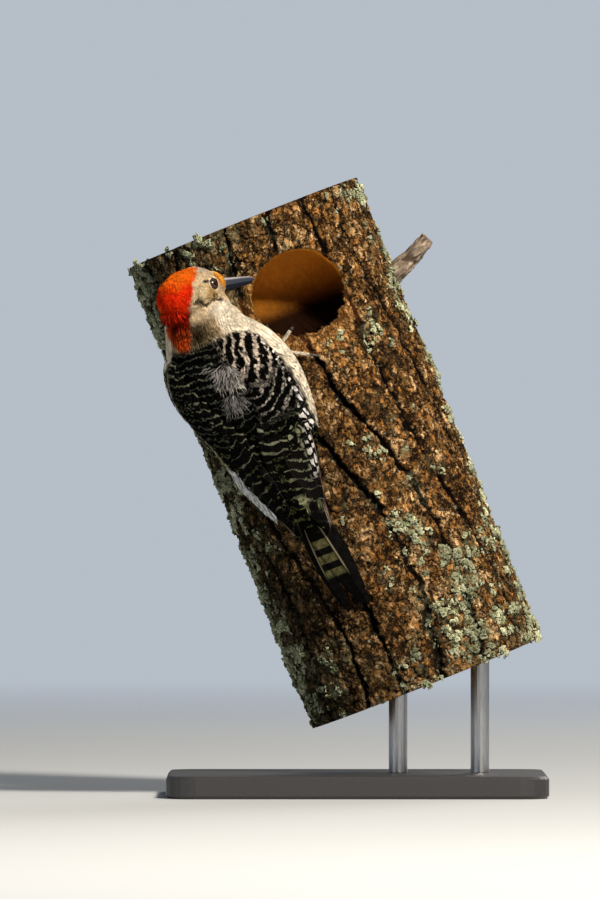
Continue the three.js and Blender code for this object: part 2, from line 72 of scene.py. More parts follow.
TRUNK_FRAME = Matrix.Translation(TRUNK_CENTRE) @ Matrix.Rotation(-TRUNK_LEAN, 4, "Y")
BIRD_FRAME = (
    TRUNK_FRAME
    @ Matrix.Translation(on_trunk(BIRD["along"], BIRD["bearing"], BIRD["reach"]))
    @ Matrix.Rotation(BIRD["bearing"], 4, "Z")
    @ Matrix.Rotation(math.pi / 2 + BIRD["lean"], 4, "X")
)
HEAD_IN_BIRD = (
    Matrix.Translation(HEAD["place"])
    @ Matrix.Rotation(-HEAD["turn"], 4, "Y")
    @ Matrix.Rotation(-math.pi / 2 - HEAD["nod"], 4, "X")
    @ Matrix.Rotation(HEAD["roll"], 4, "Y")
)
HEAD_FRAME = BIRD_FRAME @ HEAD_IN_BIRD
TO_BIRD = BIRD_FRAME.inverted()
TO_HEAD = HEAD_IN_BIRD.inverted()


def moved(points, matrix):
    """Points taken through a frame's matrix."""
    m = np.array(matrix)
    return np.asarray(points, float) @ m[:3, :3].T + m[:3, 3]


def turned(ways, matrix):
    """Directions taken through a frame's matrix."""
    return np.asarray(ways, float) @ np.array(matrix)[:3, :3].T


def folded_head(points):
    """Points of the bird in the head's frame, with its left side laid over its right."""
    head = moved(points, TO_HEAD)
    head[:, 0] = np.abs(head[:, 0])
    return head


def unit(v):
    return v / np.maximum(np.linalg.norm(v, axis=-1, keepdims=True), 1e-9)


def triple(*values):
    """Three rows of numbers, or single numbers, as the vectors that a mesh carries."""
    return np.stack(np.broadcast_arrays(*values), -1)


def smooth(low, high, x):
    """0 below low, 1 above high, and a soft step between."""
    t = np.clip((np.asarray(x, float) - low) / (high - low), 0, 1)
    return t * t * (3 - 2 * t)


def hump(x, centre, reach):
    """1 at the centre, falling softly to 0 at the reach on either side."""
    return 1 - smooth(0, reach, np.abs(np.asarray(x, float) - centre))


def full_turn(count):
    return np.arange(count) / count * 2 * math.pi


# ------------------------------------------------------------------ noise


def hashed(cells, seed):
    """A fixed number from 0 to 1 for each whole-number cell."""
    mixed = cells @ np.array([127.1, 311.7, 74.7][: cells.shape[-1]]) + seed * 17.31
    return np.abs(np.sin(mixed) * 43758.5453) % 1.0


def noise(points, size, seed=0):
    """Smooth noise from 0 to 1 whose lumps are about size across."""
    p = np.asarray(points, float) / size + 1000
    base = np.floor(p)
    part = p - base
    part = part * part * (3 - 2 * part)
    total = 0
    for corner in itertools.product((0, 1), repeat=p.shape[-1]):
        corner = np.array(corner)
        total = total + hashed(base + corner, seed) * np.prod(np.where(corner, part, 1 - part), -1)
    return total


def fractal(points, size, octaves, seed=0):
    """Noise with finer and finer lumps, from 0 to 1."""
    total = sum(noise(points, size / 2**i, seed + i) / 2**i for i in range(octaves))
    return total / sum(1 / 2**i for i in range(octaves))


def cracked(u, v, wrap, seed):
    """Irregular cells in a plane that closes on itself after wrap cells in u: how far a point is from its
    cell's border, a random number for the cell, and how far in v the point is from the cell's middle."""
    iu, iv = np.floor(u), np.floor(v)
    nearest, second = np.full((2, *u.shape), 9.0)
    number, offset = np.zeros((2, *u.shape))
    for du, dv in itertools.product((-1, 0, 1), repeat=2):
        cell = np.stack([(iu + du) % wrap, iv + dv], -1)
        over = v - iv - dv - hashed(cell, seed + 5)
        away = np.hypot(iu + du + hashed(cell, seed) - u, over)
        closer = away < nearest
        second = np.where(closer, nearest, np.minimum(second, away))
        number = np.where(closer, hashed(cell, seed + 9), number)
        offset = np.where(closer, over, offset)
        nearest = np.minimum(nearest, away)
    return second - nearest, number, offset


def patch(points, centre, reach, soft=0.45):
    """1 near the middle of an ellipsoid, fading to 0 at its surface."""
    away = np.linalg.norm((points - np.array(centre)) / np.array(reach), axis=1)
    return smooth(1, soft, away)


def blend(under, over, share):
    """Colours, part of the way from one to another."""
    under = np.asarray(under)
    return under + (np.asarray(over) - under) * np.asarray(share)[..., None]


# ------------------------------------------------------------------ meshes


def make_mesh(name, points, faces, world, uv=None, **attributes):
    """A mesh object from points in millimetres in a frame, faces as arrays of 3 or 4 corners, a uv for each
    point, and named vectors for each point."""
    mesh = bpy.data.meshes.new(name)
    places = moved(points, world) * MM
    faces = [np.asarray(f) for f in (faces if isinstance(faces, (list, tuple)) else [faces])]
    corners = np.concatenate([f.ravel() for f in faces]).astype(np.int32)
    sizes = np.concatenate([np.full(len(f), f.shape[1]) for f in faces]).astype(np.int32)
    mesh.vertices.add(len(places))
    mesh.vertices.foreach_set("co", places.astype(np.float32).ravel())
    mesh.loops.add(len(corners))
    mesh.loops.foreach_set("vertex_index", corners)
    mesh.polygons.add(len(sizes))
    mesh.polygons.foreach_set("loop_start", np.concatenate([[0], np.cumsum(sizes)[:-1]]).astype(np.int32))
    mesh.polygons.foreach_set("use_smooth", np.ones(len(sizes), bool))
    mesh.update(calc_edges=True)
    mesh.validate()
    if uv is not None:
        layer = mesh.uv_layers.new(name="OFBake")
        layer.data.foreach_set("uv", np.asarray(uv, np.float32)[corners].ravel())
    for key, values in attributes.items():
        attribute = mesh.attributes.new(key, "FLOAT_VECTOR", "POINT")
        attribute.data.foreach_set("vector", np.asarray(values, np.float32).ravel())
    piece = bpy.data.objects.new(name, mesh)
    bpy.context.scene.collection.objects.link(piece)
    return piece


def dress(piece, material, slot, *nodes):
    """Gives a piece its material, sets it on the body, and hides the solids it stands for; its slot is not
    used.
    """
    piece.data.materials.clear()
    piece.data.materials.append(MATERIALS[material])
    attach(piece, "root")
    if nodes:
        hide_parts(*nodes)


def read(items, key, width, kind=np.float32):
    """A value of each vertex, corner or triangle of a mesh, in rows of the width."""
    values = np.empty(len(items) * width, kind)
    items.foreach_get(key, values)
    return values.reshape(-1, width)


def bridge(a, b):
    """Quads between two closed rings of points, given by their numbers."""
    return np.stack([a, np.roll(a, -1), np.roll(b, -1), b], 1)


def fan(ring):
    """Triangles that close a ring of points from its first one."""
    return np.stack([np.full(len(ring) - 2, ring[0]), ring[1:-1], ring[2:]], 1)


def cone(ring, tip):
    """Triangles from a closed ring of points to a single one."""
    return np.stack([ring, np.roll(ring, -1), np.full(len(ring), tip)], 1)


def tube(rings, around):
    """Quads round a row of closed rings of points."""
    r, c = np.meshgrid(np.arange(rings - 1), np.arange(around), indexing="ij")
    r, c = r.ravel(), c.ravel()
    after = (c + 1) % around
    return np.stack([r * around + c, r * around + after, (r + 1) * around + after, (r + 1) * around + c], 1)


def copies(tris, per, count):
    """The faces of many meshes alike, with so many points each."""
    return (tris[None] + (np.arange(count) * per)[:, None, None]).reshape(-1, 3)


def node_mesh(*names, grow):
    """The solids' points in the bird's frame, and their triangles, each grown outwards by so many mm."""
    points, faces, start = [], [], 0
    for name in names:
        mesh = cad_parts[name].data
        places = moved(read(mesh.vertices, "co", 3) / MM, TO_BIRD)
        mesh.calc_loop_triangles()
        tri = read(mesh.loop_triangles, "vertices", 3, np.int32).ravel()
        merged, index = np.unique(np.round(places, 3), axis=0, return_inverse=True)
        tri = index.ravel()[tri].reshape(-1, 3)
        cross = np.cross(merged[tri[:, 1]] - merged[tri[:, 0]], merged[tri[:, 2]] - merged[tri[:, 0]])
        normals = np.zeros_like(merged)
        for corner in range(3):
            np.add.at(normals, tri[:, corner], cross)
        points.append(merged + unit(normals) * grow)
        faces.append(tri + start)
        start += len(merged)
    return np.concatenate(points), np.concatenate(faces)


def remeshed(points, faces, voxel, rounds):
    """One closed surface round overlapping solids, smoothed: its points, quads and point normals."""
    piece = make_mesh("remesh_source", points, faces, BIRD_FRAME)
    remesh = piece.modifiers.new("voxels", "REMESH")
    remesh.mode = "VOXEL"
    remesh.voxel_size = voxel * MM
    soften = piece.modifiers.new("soften", "SMOOTH")
    soften.factor = 0.5
    soften.iterations = rounds
    depsgraph = bpy.context.evaluated_depsgraph_get()
    mesh = bpy.data.meshes.new_from_object(piece.evaluated_get(depsgraph))
    places = moved(read(mesh.vertices, "co", 3) / MM, TO_BIRD)
    normals = turned(read(mesh.vertices, "normal", 3), TO_BIRD)
    quads = read(mesh.loops, "vertex_index", 1, np.int32).reshape(-1, 4)
    bpy.data.objects.remove(piece)
    bpy.data.meshes.remove(mesh)
    return places, quads, normals


class Surface:
    """A surface in the bird's frame that coats are laid on."""

    def __init__(self, points, faces):
        self.points = points
        self.faces = faces
        self.tree = BVHTree.FromPolygons(points.tolist(), faces.tolist())

    def nearest(self, places):
        """The nearest points of the surface and its outward normals there."""
        found = [self.tree.find_nearest(p)[:2] for p in places.tolist()]
        return np.array([f[0] for f in found]), np.array([f[1] for f in found])

    def scatter(self, spacing, keep, seed, crowd=4):
        """Points and normals that are at least the spacing apart; keep says where they may be."""
        random = np.random.default_rng(seed)
        triangles = np.concatenate([self.faces[:, [0, 1, 2]], self.faces[:, [0, 2, 3]]])
        a, b, c = (self.points[triangles[:, i]] for i in range(3))
        cross = np.cross(b - a, c - a)
        weight = np.linalg.norm(cross, axis=1) / 2 / (spacing * spacing) * keep((a + b + c) / 3)
        count = int(weight.sum() * crowd)
        pick = random.choice(len(triangles), count, p=weight / weight.sum())
        r = random.random((count, 2))
        flip = r.sum(1) > 1
        r[flip] = 1 - r[flip]
        points = a[pick] + (b - a)[pick] * r[:, :1] + (c - a)[pick] * r[:, 1:]
        steps = list(itertools.product((-1, 0, 1), repeat=3))
        taken, chosen = {}, []
        keys = np.floor(points / spacing).astype(int)
        for i, (p, (kx, ky, kz)) in enumerate(zip(points.tolist(), keys.tolist())):
            close = (q for x, y, z in steps for q in taken.get((kx + x, ky + y, kz + z), ()))
            if all(math.dist(p, q) >= spacing for q in close):
                taken.setdefault((kx, ky, kz), []).append(p)
                chosen.append(i)
        return points[chosen], unit(cross[pick])[chosen]


# ------------------------------------------------------------------ shader helpers


class Socket:
    """A node's output, which can be added to, multiplied and so on."""

    def __init__(self, nodes, output):
        self.nodes = nodes
        self.output = output

    def __add__(self, other):
        return self.nodes.math("ADD", self, other)

    def __sub__(self, other):
        return self.nodes.math("SUBTRACT", self, other)

    def __mul__(self, other):
        return self.nodes.math("MULTIPLY", self, other)

    def __or__(self, other):
        return self.nodes.math("MAXIMUM", self, other)

    def __abs__(self):
        return self.nodes.math("ABSOLUTE", self)


class Nodes:
    """A material's node tree, written as formulas."""

    def __init__(self, name):
        self.material = bpy.data.materials.new(name)
        self.material.use_nodes = True
        self.tree = self.material.node_tree
        self.shader = self.tree.nodes["Principled BSDF"]
        self.here = self.place()

    def feed(self, socket, value):
        if isinstance(value, Socket):
            self.tree.links.new(value.output, socket)
        elif isinstance(value, tuple) and socket.type == "RGBA":
            socket.default_value = (*value, 1)
        elif value is not None:
            socket.default_value = value

    def node(self, kind, inputs=(), output=0, **settings):
        """One output of a new node."""
        node = self.tree.nodes.new(kind)
        for key, value in settings.items():
            setattr(node, key, value)
        for key, value in dict(inputs).items():
            self.feed(node.inputs[key], value)
        return Socket(self, node.outputs[output])

    def math(self, operation, *values):
        return self.node("ShaderNodeMath", dict(enumerate(values)), operation=operation)

    def vector(self, operation, *values, output=0):
        return self.node("ShaderNodeVectorMath", dict(enumerate(values)), output, operation=operation)

    def folded(self, value):
        """0 at each whole number, 0.5 half way between."""
        return self.math("PINGPONG", value, 0.5)

    def step(self, value, low, high, to_low=0.0, to_high=1.0):
        inputs = {"Value": value, "From Min": low, "From Max": high, "To Min": to_low, "To Max": to_high}
        return self.node("ShaderNodeMapRange", inputs, interpolation_type="SMOOTHSTEP")

    def mix(self, share, a, b):
        return self.node("ShaderNodeMix", {0: share, 6: a, 7: b}, 2, data_type="RGBA")

    def ramp(self, value, low, high, a, b):
        """Colour a where the value is low, b where it is high."""
        return self.mix(self.step(value, low, high), a, b)

    def scale(self, colour, share):
        return self.node("ShaderNodeVectorMath", {0: colour, "Scale": share}, operation="SCALE")

    def uneven(self, colour, value, low, high, dark, light):
        """A colour that the value makes darker or lighter."""
        return self.scale(colour, self.step(value, low, high, dark, light))

    def attribute(self, name):
        """The three numbers of a vector that the mesh carries."""
        vector = self.node("ShaderNodeAttribute", output="Vector", attribute_name=name)
        return [self.node("ShaderNodeSeparateXYZ", {0: vector}, axis) for axis in "XYZ"]

    def place(self, size=(1, 1, 1), turn=(0, 0, 0)):
        """The row's own coordinates, in turned axes, with what is laid out in them size times as big."""
        source = self.node("ShaderNodeTexCoord", output="Object")
        inputs = {"Vector": source, "Rotation": turn, "Scale": size}
        return self.node("ShaderNodeMapping", inputs, vector_type="TEXTURE")

    def noise(self, scale, detail=3, rough=0.6, at=None, output=0):
        inputs = {"Vector": at or self.here, "Scale": scale, "Detail": detail, "Roughness": rough}
        return self.node("ShaderNodeTexNoise", inputs, output)

    def cells(self, scale, at=None, output="Distance", feature="F1"):
        inputs = {"Vector": at or self.here, "Scale": scale}
        return self.node("ShaderNodeTexVoronoi", inputs, output, feature=feature)

    def barbs(self, length, aside, slant, count):
        """Fine ridges that run slantwise off a feather's shaft."""
        return self.math("SINE", (length + aside * slant) * count)

    def finish(self, colour, roughness, height=None, distance=0.0, strength=1.0, **fixed):
        """The material, with bumps of a height from 0 to about 1 times the distance."""
        self.feed(self.shader.inputs["Base Color"], colour)
        self.feed(self.shader.inputs["Roughness"], roughness)
        if height:
            inputs = {"Height": height, "Distance": distance, "Strength": strength}
            self.feed(self.shader.inputs["Normal"], self.node("ShaderNodeBump", inputs))
        for key, value in fixed.items():
            self.shader.inputs[key.replace("_", " ")].default_value = value
        return self.material


# ------------------------------------------------------------------ the body's own coordinates

# Stations along the spine: the middle of the section, its half width, and its height above that middle.
BODY = np.array(
    [
        # y, x, z, w, top
        (-60, 0.9, -0.4, 9.4, 5.2),
        (-52, 0.7, -1, 12, 7.8),
        (-40, 0.2, -2, 16.6, 12),
        (-22, 0.6, -4, 22.6, 18.8),
        (-2, 1.8, -5, 27.2, 24.6),
        (18, 1.4, -6, 30.4, 28.2),
        (33, -0.8, -7, 31, 28),
        (49, -3.2, -8.5, 26.6, 24),
        (62, -3.4, -10.5, 20.4, 19),
        (73, -2, -12, 17.2, 15.6),
        (83, 1, -12.5, 13.4, 12),
    ]
)
WING_BED = np.concatenate([[(-68, 1.6, 0.2, 10, 5), (-54, 0.8, -1, 12.2, 8)], BODY[2:]])
# Stations across the folded wing: its upper edge, and the lower edge of the right and left wing, in degrees
# from the middle of the back, and the depth of the feathers.
WING = np.array(
    [
        # y, upper, right, left, thick
        (-66.5, 50, 72, 50, 0.9),
        (-60, 24, 86, 54, 1.3),
        (-49, 8, 95, 44, 1.7),
        (-33, 5, 92, 39, 2),
        (-16, 8, 82, 46, 2.2),
        (-12, 9, 79, 50, 2.3),
        (-10.5, 9, 78, 52, 3),
        (5, 13, 70, 72, 3),
        (20, 21, 67, 76, 3),
        (35, 30, 71, 80, 3.1),
        (45, 38, 74, 82, 2.6),
        (55, 52, 76, 78, 1.5),
    ]
)


def along(stations, at):
    """A smooth reading of a table of stations at any values of its first column."""
    key = stations[:, 0]
    at = np.clip(np.asarray(at, float), key[0], key[-1])
    slope = np.gradient(stations[:, 1:], key, axis=0)
    i = np.clip(np.searchsorted(key, at) - 1, 0, len(key) - 2)
    span = key[i + 1] - key[i]
    t = ((at - key[i]) / span)[..., None]
    a, b = stations[i, 1:], stations[i + 1, 1:]
    leave, arrive = slope[i] * span[..., None], slope[i + 1] * span[..., None]
    read_off = (
        a * (2 * t**3 - 3 * t**2 + 1)
        + leave * (t**3 - 2 * t**2 + t)
        + b * (3 * t**2 - 2 * t**3)
        + arrive * (t**3 - t**2)
    )
    return np.moveaxis(read_off, -1, 0)


def round_body(points):
    """Degrees round the body from the middle of its back, towards its right, and mm along the spine."""
    x, z, w, top = along(BODY, points[:, 1])
    return np.degrees(np.arctan2((points[:, 0] - x) / w, (points[:, 2] - z) / top)), points[:, 1]


def on_bed(degrees, y, lift):
    """A place over the bed of the folded wings, and the way out of it."""
    x, z, w, top = along(WING_BED, y)
    angle = np.radians(degrees)
    across, up = np.sin(angle), np.cos(angle)
    return triple(x + (w + lift) * across, y, z + (top + lift) * up), unit(triple(across / w, 0.0, up / top))


# ------------------------------------------------------------------ plumage markings

FLOW_END = np.array([0.0, -130.0, -3.0])  # where the lie of the body's coat runs to
BILL_BASE = np.array([0.0, 16.0, 0.0])  # where the lie of the head's coat starts, in the head's frame
DOWN_SPRING = np.array([7.0, 50.0, 12.0])  # where the loose down of the back fans out from

GREY_CROWN = (0.62, 0.54, 0.50)
FACE_BUFF = (0.84, 0.64, 0.40)
FACE_RIM = (0.46, 0.32, 0.15)
FACE_PALE = (0.86, 0.68, 0.42)
FACE_DULL = (0.50, 0.34, 0.14)
THROAT = (0.98, 0.88, 0.72)
# Painted shade in the fold between cheek and neck.
FOLD_SHADE = (0.050, 0.032, 0.016)
# The neck's buff and olive below are darkened as painted shadow of the head.
NECK_BUFF_SHADOWED = (0.50, 0.36, 0.20)
NECK_PALE = (0.85, 0.68, 0.46)
NECK_OLIVE_SHADOWED = (0.038, 0.026, 0.011)
NECK_ROSY = (0.86, 0.74, 0.68)
CREAM = (0.98, 0.86, 0.68)
SHADED_WHITE = (0.80, 0.82, 0.80)
# Painted light and shadow on the red: deep low down where the head's shadow falls, orange where light takes
# its top and edges.
RED_DEEP_SHADOWED = (0.095, 0.007, 0.002)
RED = (0.90, 0.030, 0.003)
RED_LIT = (1.0, 0.22, 0.010)
RED_EDGE_LIT = (0.95, 0.12, 0.015)
LINE_GREY = (0.50, 0.52, 0.52)

# The body's regions, as values at places along the spine; all degrees are from the middle of the back.
NAPE = -33  # the middle of the nape, in degrees round the turned neck
NAPE_TIP = 12  # how many degrees the nape's tip lies to the right of its middle
# Half the width of the red nape.
NAPE_REACH = ((57.0, 59.0, 62.0, 66.4, 71.5, 78, 84, 86, 92), (0, 7, 16, 25, 32, 36, 40, 47, 62))
# How far down the right wing's coverts reach towards the back.
COVERT_START = ((-14, -6, 2, 10, 20, 33, 45, 54), (9, 24, 38, 48, 54, 60, 67, 74))
# Where the flanks' cream starts on the right and the left.
CREAM_RIGHT = ((-40, -17, -12, -5, 0, 53, 60), (108, 102, 90, 84, 79, 74, 42))
CREAM_LEFT = ((-60, -49, -33, -22, -14, -8, 0, 20, 50, 58), (50, 38, 33, 37, 44, 52, 60, 68, 66, 48))
# Where the belly's locks start on the right and the left.
BELLY_ALONG = (-66, -60, -49, -33, -16, -8, 5, 20, 45, 58)
BELLY_RIGHT = (BELLY_ALONG, (50, 64, 80, 80, 72, 68, 60, 57, 62, 40))
BELLY_LEFT = (BELLY_ALONG, (38, 44, 36, 32, 38, 44, 60, 66, 68, 40))
BREAST_START = ((-12, 0, 20, 45, 56, 64), (84, 77, 74, 74, 62, 46))
# How far the mantle reaches on the left, and on the right behind the wings' coverts.
MANTLE_LEFT = ((-62, -50, -13, -8, 0, 20, 40, 58), (34, 12, 13, 22, 38, 50, 80, 110))
RUMP_RIGHT = ((-62, -50, -13), (34, 12, 14))
# Where the thin pale edge of the left side shows.
LEFT_EDGE = ((-14, 7, 17, 28, 40, 51, 58), (-44, -51, -60, -63, -60, -58, -56))
# The distance from bar to bar on the back.
BAR_SPACING = ((-60, -10, 20, 46, 62), (6.6, 6.0, 4.6, 4.3, 4.0))

# Where the red of the hind crown starts along the bill's line, at heights in the head's frame.
CROWN_EDGE = ((-9, -6.4, -4.4, -0.3, 3.2, 6.0, 10.7, 13), (-16.7, -15.0, -13.6, -11.9, -9.8, -5.7, 0.6, 2.0))
# How far down the fold between cheek and neck lies, at places along the head.
FOLD = ((-10, -7, -4.7, -2.8, -0.4, 1.4, 4.2, 7.6), (-7.0, -6.5, -7.7, -8.9, -8.0, -6.4, -6.2, -7.3))
FOLD_THICK = ((-10, -8, -3, 0, 3, 8), (0.8, 1.8, 1.6, 0.7, 0.9, 0.5))
# Patches of the head's plumage, the same on both sides, laid over one another in this order.
HEAD_PATCHES = (
    # centre (|x|, y, z), reach, colour
    ((0, 4, 13), (15, 10, 8.5), GREY_CROWN),
    ((14, -4.4, -2.2), (6, 6.6, 6.0), FACE_RIM),
    ((14, -4.2, -2.0), (5, 5.4, 4.8), FACE_PALE),
    ((14, 1.4, -3.2), (5, 5.2, 5.2), FACE_DULL),
    ((9, 7, -12.5), (17, 12, 8.0), THROAT),
    ((14, -1.2, 3.8), (4, 2.9, 1.1), (0.045, 0.040, 0.040)),
    ((13.6, 2.8, -4.2), (4, 0.9, 2.2), (0.060, 0.036, 0.014)),
    ((13.6, 4.7, -4.6), (4, 0.8, 2.4), (0.050, 0.030, 0.012)),
    ((13.8, 6.6, -6.2), (4, 0.8, 1.0), (0.060, 0.036, 0.016)),
    ((8, 12.3, 4.2), (6.5, 5.2, 5.4), (1.0, 0.42, 0.045)),
)


def at(table, y):
    """The value of a two-row table at places along it."""
    return np.interp(y, *table)


def lie(points):
    """The way that the coat lies at each point of the bird."""
    tailwards = unit(FLOW_END - points)
    away = moved(points, TO_HEAD) - BILL_BASE
    from_bill = turned(unit(away), HEAD_IN_BIRD)
    share = smooth(16, 34, np.linalg.norm(away, axis=1))[:, None]
    return unit(from_bill * (1 - share) + tailwards * share)


def forwards(points):
    """The lie of the bristles over the nostrils: along the bill."""
    return np.repeat(turned(np.array([(0.0, 1.0, -0.15)]), HEAD_IN_BIRD), len(points), 0)


def fanned(points):
    """The lie of the loose down: away from where it springs."""
    return unit(points - DOWN_SPRING)


def headness(points):
    """1 on the head, 0 on the neck and body."""
    return smooth(24, 18.5, np.linalg.norm(moved(points, TO_HEAD), axis=1))


def left_edge(theta, y):
    """How much a point is on the thin pale line down the left side."""
    return hump(theta - at(LEFT_EDGE, y), 0, 3.4) * smooth(-18, -10, y) * smooth(56, 44, y)


def back_bars(points, theta, y, wobble, jitter):
    """The pale bars of the back: their phase, share of light and colour."""
    right, left = np.clip(theta, 0, 60), np.clip(-theta, 0, 60)
    low = smooth(5, -10, y)
    rise = -0.12 * np.clip(theta - 10, 0, 60) * low - 0.10 * np.clip(left, 0, 50) * low
    rise = rise + 0.05 * left * smooth(0, 20, y) - 0.07 * np.clip(right, 0, 40) * smooth(20, 40, y)
    waves = 0.8 * (noise(points, 9, 8) - 0.5) + 0.7 * (noise(points, 2.6, 9) - 0.5)
    cross = (y - rise) / at(BAR_SPACING, y) + waves + jitter
    streaks = (0.49 * theta - 0.8 * y) / 7.0 + 0.7 * waves + 0.8 * jitter
    arcs = np.hypot(0.49 * (theta - 22), y - 40) / 5.0 + 0.8 * waves + 0.8 * jitter
    scapular = (theta > 25 + 3 * wobble) & (y > 31 + 3 * wobble)
    shoulder = (theta > 20 + 3 * wobble) & (y > 10 + 3 * wobble) & ~scapular
    phase = np.where(scapular, streaks, np.where(shoulder, arcs, cross))
    light = np.where(scapular, 0.36, np.where(shoulder, 0.25, 0.18))
    light = light * (0.35 + 1.3 * noise(points, 4, 12))
    # The pale bars are brightest on the outer shoulder, partly as painted light, and dim on the inner and
    # lower back, partly their own tint and partly painted shade.
    outer = smooth(16, 30, theta)
    pale = blend((0.074, 0.082, 0.062), (0.52, 0.435, 0.36), outer * smooth(24, 40, y))
    pale = blend(pale, (0.29, 0.265, 0.23), outer * smooth(6, 18, y) * smooth(40, 26, y))
    return phase, light, blend(pale, (0.085, 0.090, 0.032), smooth(14, -6, y))


def red_share(points, wobble):
    """How red the plumage is: one patch from the hind crown down the nape to a tip."""
    theta, y = round_body(points)
    _, hy, hz = moved(points, TO_HEAD).T
    barbs = noise(points, 0.9, 4) - 0.5
    aside = np.abs(theta - NAPE - NAPE_TIP * smooth(69, 58, y))
    nape = smooth(4, -4, aside - at(NAPE_REACH, y) + 3 * wobble + 5 * barbs) * (y > 58)
    crown = smooth(0.9, -0.9, hy - at(CROWN_EDGE, hz) + 0.8 * wobble + 2 * barbs) * smooth(-9, -6, hz)
    return np.maximum(nape, crown)


def face_colour(points, wobble):
    """The head's colour apart from the red, and how much of a point is in the fold under the cheek, where
    shade is painted in.
    """
    head = folded_head(points)
    face = np.tile(FACE_BUFF, (len(head), 1))
    for centre, reach, colour in HEAD_PATCHES:
        face = blend(face, colour, patch(head + wobble[:, None] * 0.35, centre, reach))
    ragged = (noise(points, 1.1, 4) - 0.5) * 2
    below = head[:, 2] - at(FOLD, head[:, 1]) + 0.9 * ragged
    fold = smooth(1.25, 0.55, np.abs(below) / at(FOLD_THICK, head[:, 1]))
    return face, fold * smooth(-12, -9, head[:, 1]) * smooth(9.5, 7, head[:, 1])


def red_colour(points, theta, y, wobble, on_head):
    """Deep red low on the nape, partly its own colour and partly painted shadow of the head; orange at its
    top and its edges, partly as painted light.
    """
    _, hy, hz = moved(points, TO_HEAD).T
    # From deep red low down to orange at the top: partly the red's own change, partly painted shadow and
    # light.
    hue_and_light = hz - 0.3 * hy + 2 * wobble
    red = blend(RED_DEEP_SHADOWED, RED, smooth(-18, -1, hue_and_light))
    red = blend(red, RED_LIT, smooth(3, 14, hue_and_light))
    edge_light = np.maximum(smooth(-38, -50, theta), 0.8 * smooth(72, 60, y)) * (on_head < 0.5)
    return blend(red, RED_EDGE_LIT, 0.75 * edge_light)


def markings(points, jitter=0.0):
    """The plumage at points of the bird: three vectors that its material reads.
    tint: its colour, or that of its pale bars; bars: phase, share of light, barred; fluff: streaks, 0, 0."""
    theta, y = round_body(points)
    on_head = headness(points)
    wobble = (noise(points, 4, 3) - 0.5) * 2
    face, fold = face_colour(points, wobble)

    # The side of the neck is streaky buff between the olive edge of the nape and the cream breast; its buff
    # and olive are darkened as painted shadow of the head, which fades out where the neck turns pale.
    neck = blend(np.tile(NECK_BUFF_SHADOWED, (len(y), 1)), NECK_PALE, smooth(30, 50, theta))
    neck = blend(neck, NECK_OLIVE_SHADOWED, hump(theta + 3 * wobble, 6, 38) ** 0.7 * smooth(57, 62, y))
    neck = blend(neck, NECK_ROSY, smooth(-46, -54, theta) * smooth(72, 67, y))
    cream = np.where(theta > 0, at(CREAM_RIGHT, y), at(CREAM_LEFT, y))
    breast = smooth(-3, 4, np.abs(theta) - cream + 2 * wobble)
    flank = smooth(10, -30, y) * smooth(0, -20, theta)
    neck = blend(neck, blend(CREAM, SHADED_WHITE, flank), breast)

    redness = red_share(points, wobble)
    plain = blend(blend(neck, face, on_head), red_colour(points, theta, y, wobble, on_head), redness)
    # Painted shade: the fold under the cheek is darkened where it is not red.
    plain = blend(plain, FOLD_SHADE, 0.92 * fold * (1 - redness))

    barred = smooth(60.5, 57.5, y + 1.5 * wobble) * (1 - breast) * (1 - on_head)
    phase, light, pale = back_bars(points, theta, y, wobble, jitter)
    line = left_edge(theta, y) * barred
    tint = blend(blend(plain, pale, barred), LINE_GREY, line)
    # Low on the flanks the cream is crossed by thin dark chevrons.
    chevrons = hump(np.abs(theta), 122, 27) * smooth(-6, -16, y) * breast * (1 - on_head)
    light = light + (0.74 - light) * breast
    barred = np.maximum(barred * (1 - line), chevrons)
    streaky = np.where(on_head > 0.5, 0.35, 1.0) * (1 - 0.8 * breast * (1 - on_head))
    return {"tint": tint, "bars": triple(phase, light, barred), "fluff": triple(streaky, 0, 0)}


def plumage_material():
    """Plumage: a colour from the markings, broken by bars, streaks and each feather's own shade, and darkened
    towards each feather's root as painted shade.
    """
    n = Nodes("plumage")
    tint = n.node("ShaderNodeAttribute", output="Vector", attribute_name="tint")
    phase, light, barred = n.attribute("bars")
    streaky, _, _ = n.attribute("fluff")
    across, length, chance = n.attribute("quill")
    aside = abs(across)
    fine = n.noise(1100, rough=0.7)
    mottle = n.noise(300, rough=0.65)

    plain = n.uneven(tint, mottle, 0.34, 0.68, 0.72, 1.10)
    plain = n.scale(plain, (chance - 0.5) * (streaky * 0.5) + 1.0)
    plain = n.uneven(plain, fine, 0.3, 0.7, 0.80, 1.10)
    half = light * 0.5
    bar = n.step(n.folded(phase + fine * 0.16), half + 0.06, half - 0.06)
    white = n.uneven(tint, mottle, 0.3, 0.7, 0.55, 1.15)
    black = n.mix(chance, (0.0009, 0.0009, 0.0009), (0.0030, 0.0027, 0.0023))
    colour = n.mix(barred, plain, n.mix(bar, black, white))

    shaft = n.step(aside, 0.14, 0.0) * (streaky * -0.2) + 1.0
    # Painted shade: each feather darkens towards its root, where the feathers over it overlap.
    depth = n.step(length, 0.85, 0.0) * (streaky * -0.42 - 0.16) + 1.04
    rim = n.step(aside, 0.6, 1.0) * (streaky * -0.28) + 1.0
    colour = n.scale(colour, shaft * depth * rim)
    height = n.barbs(length, aside, -0.35, 160) + fine * 2.0
    return n.finish(colour, 0.9, height, 0.00014, 0.6, Specular_IOR_Level=0.02)


# ------------------------------------------------------------------ vanes

PATCH = 0.003  # the width of a small feather's patch on the bake's map
LEAF = ((0.16, 0.55), (0.5, 1.0), (0.84, 0.78))
LOCK = ((0.3, 0.8), (0.7, 0.9))
VANE_THICK = 0.10


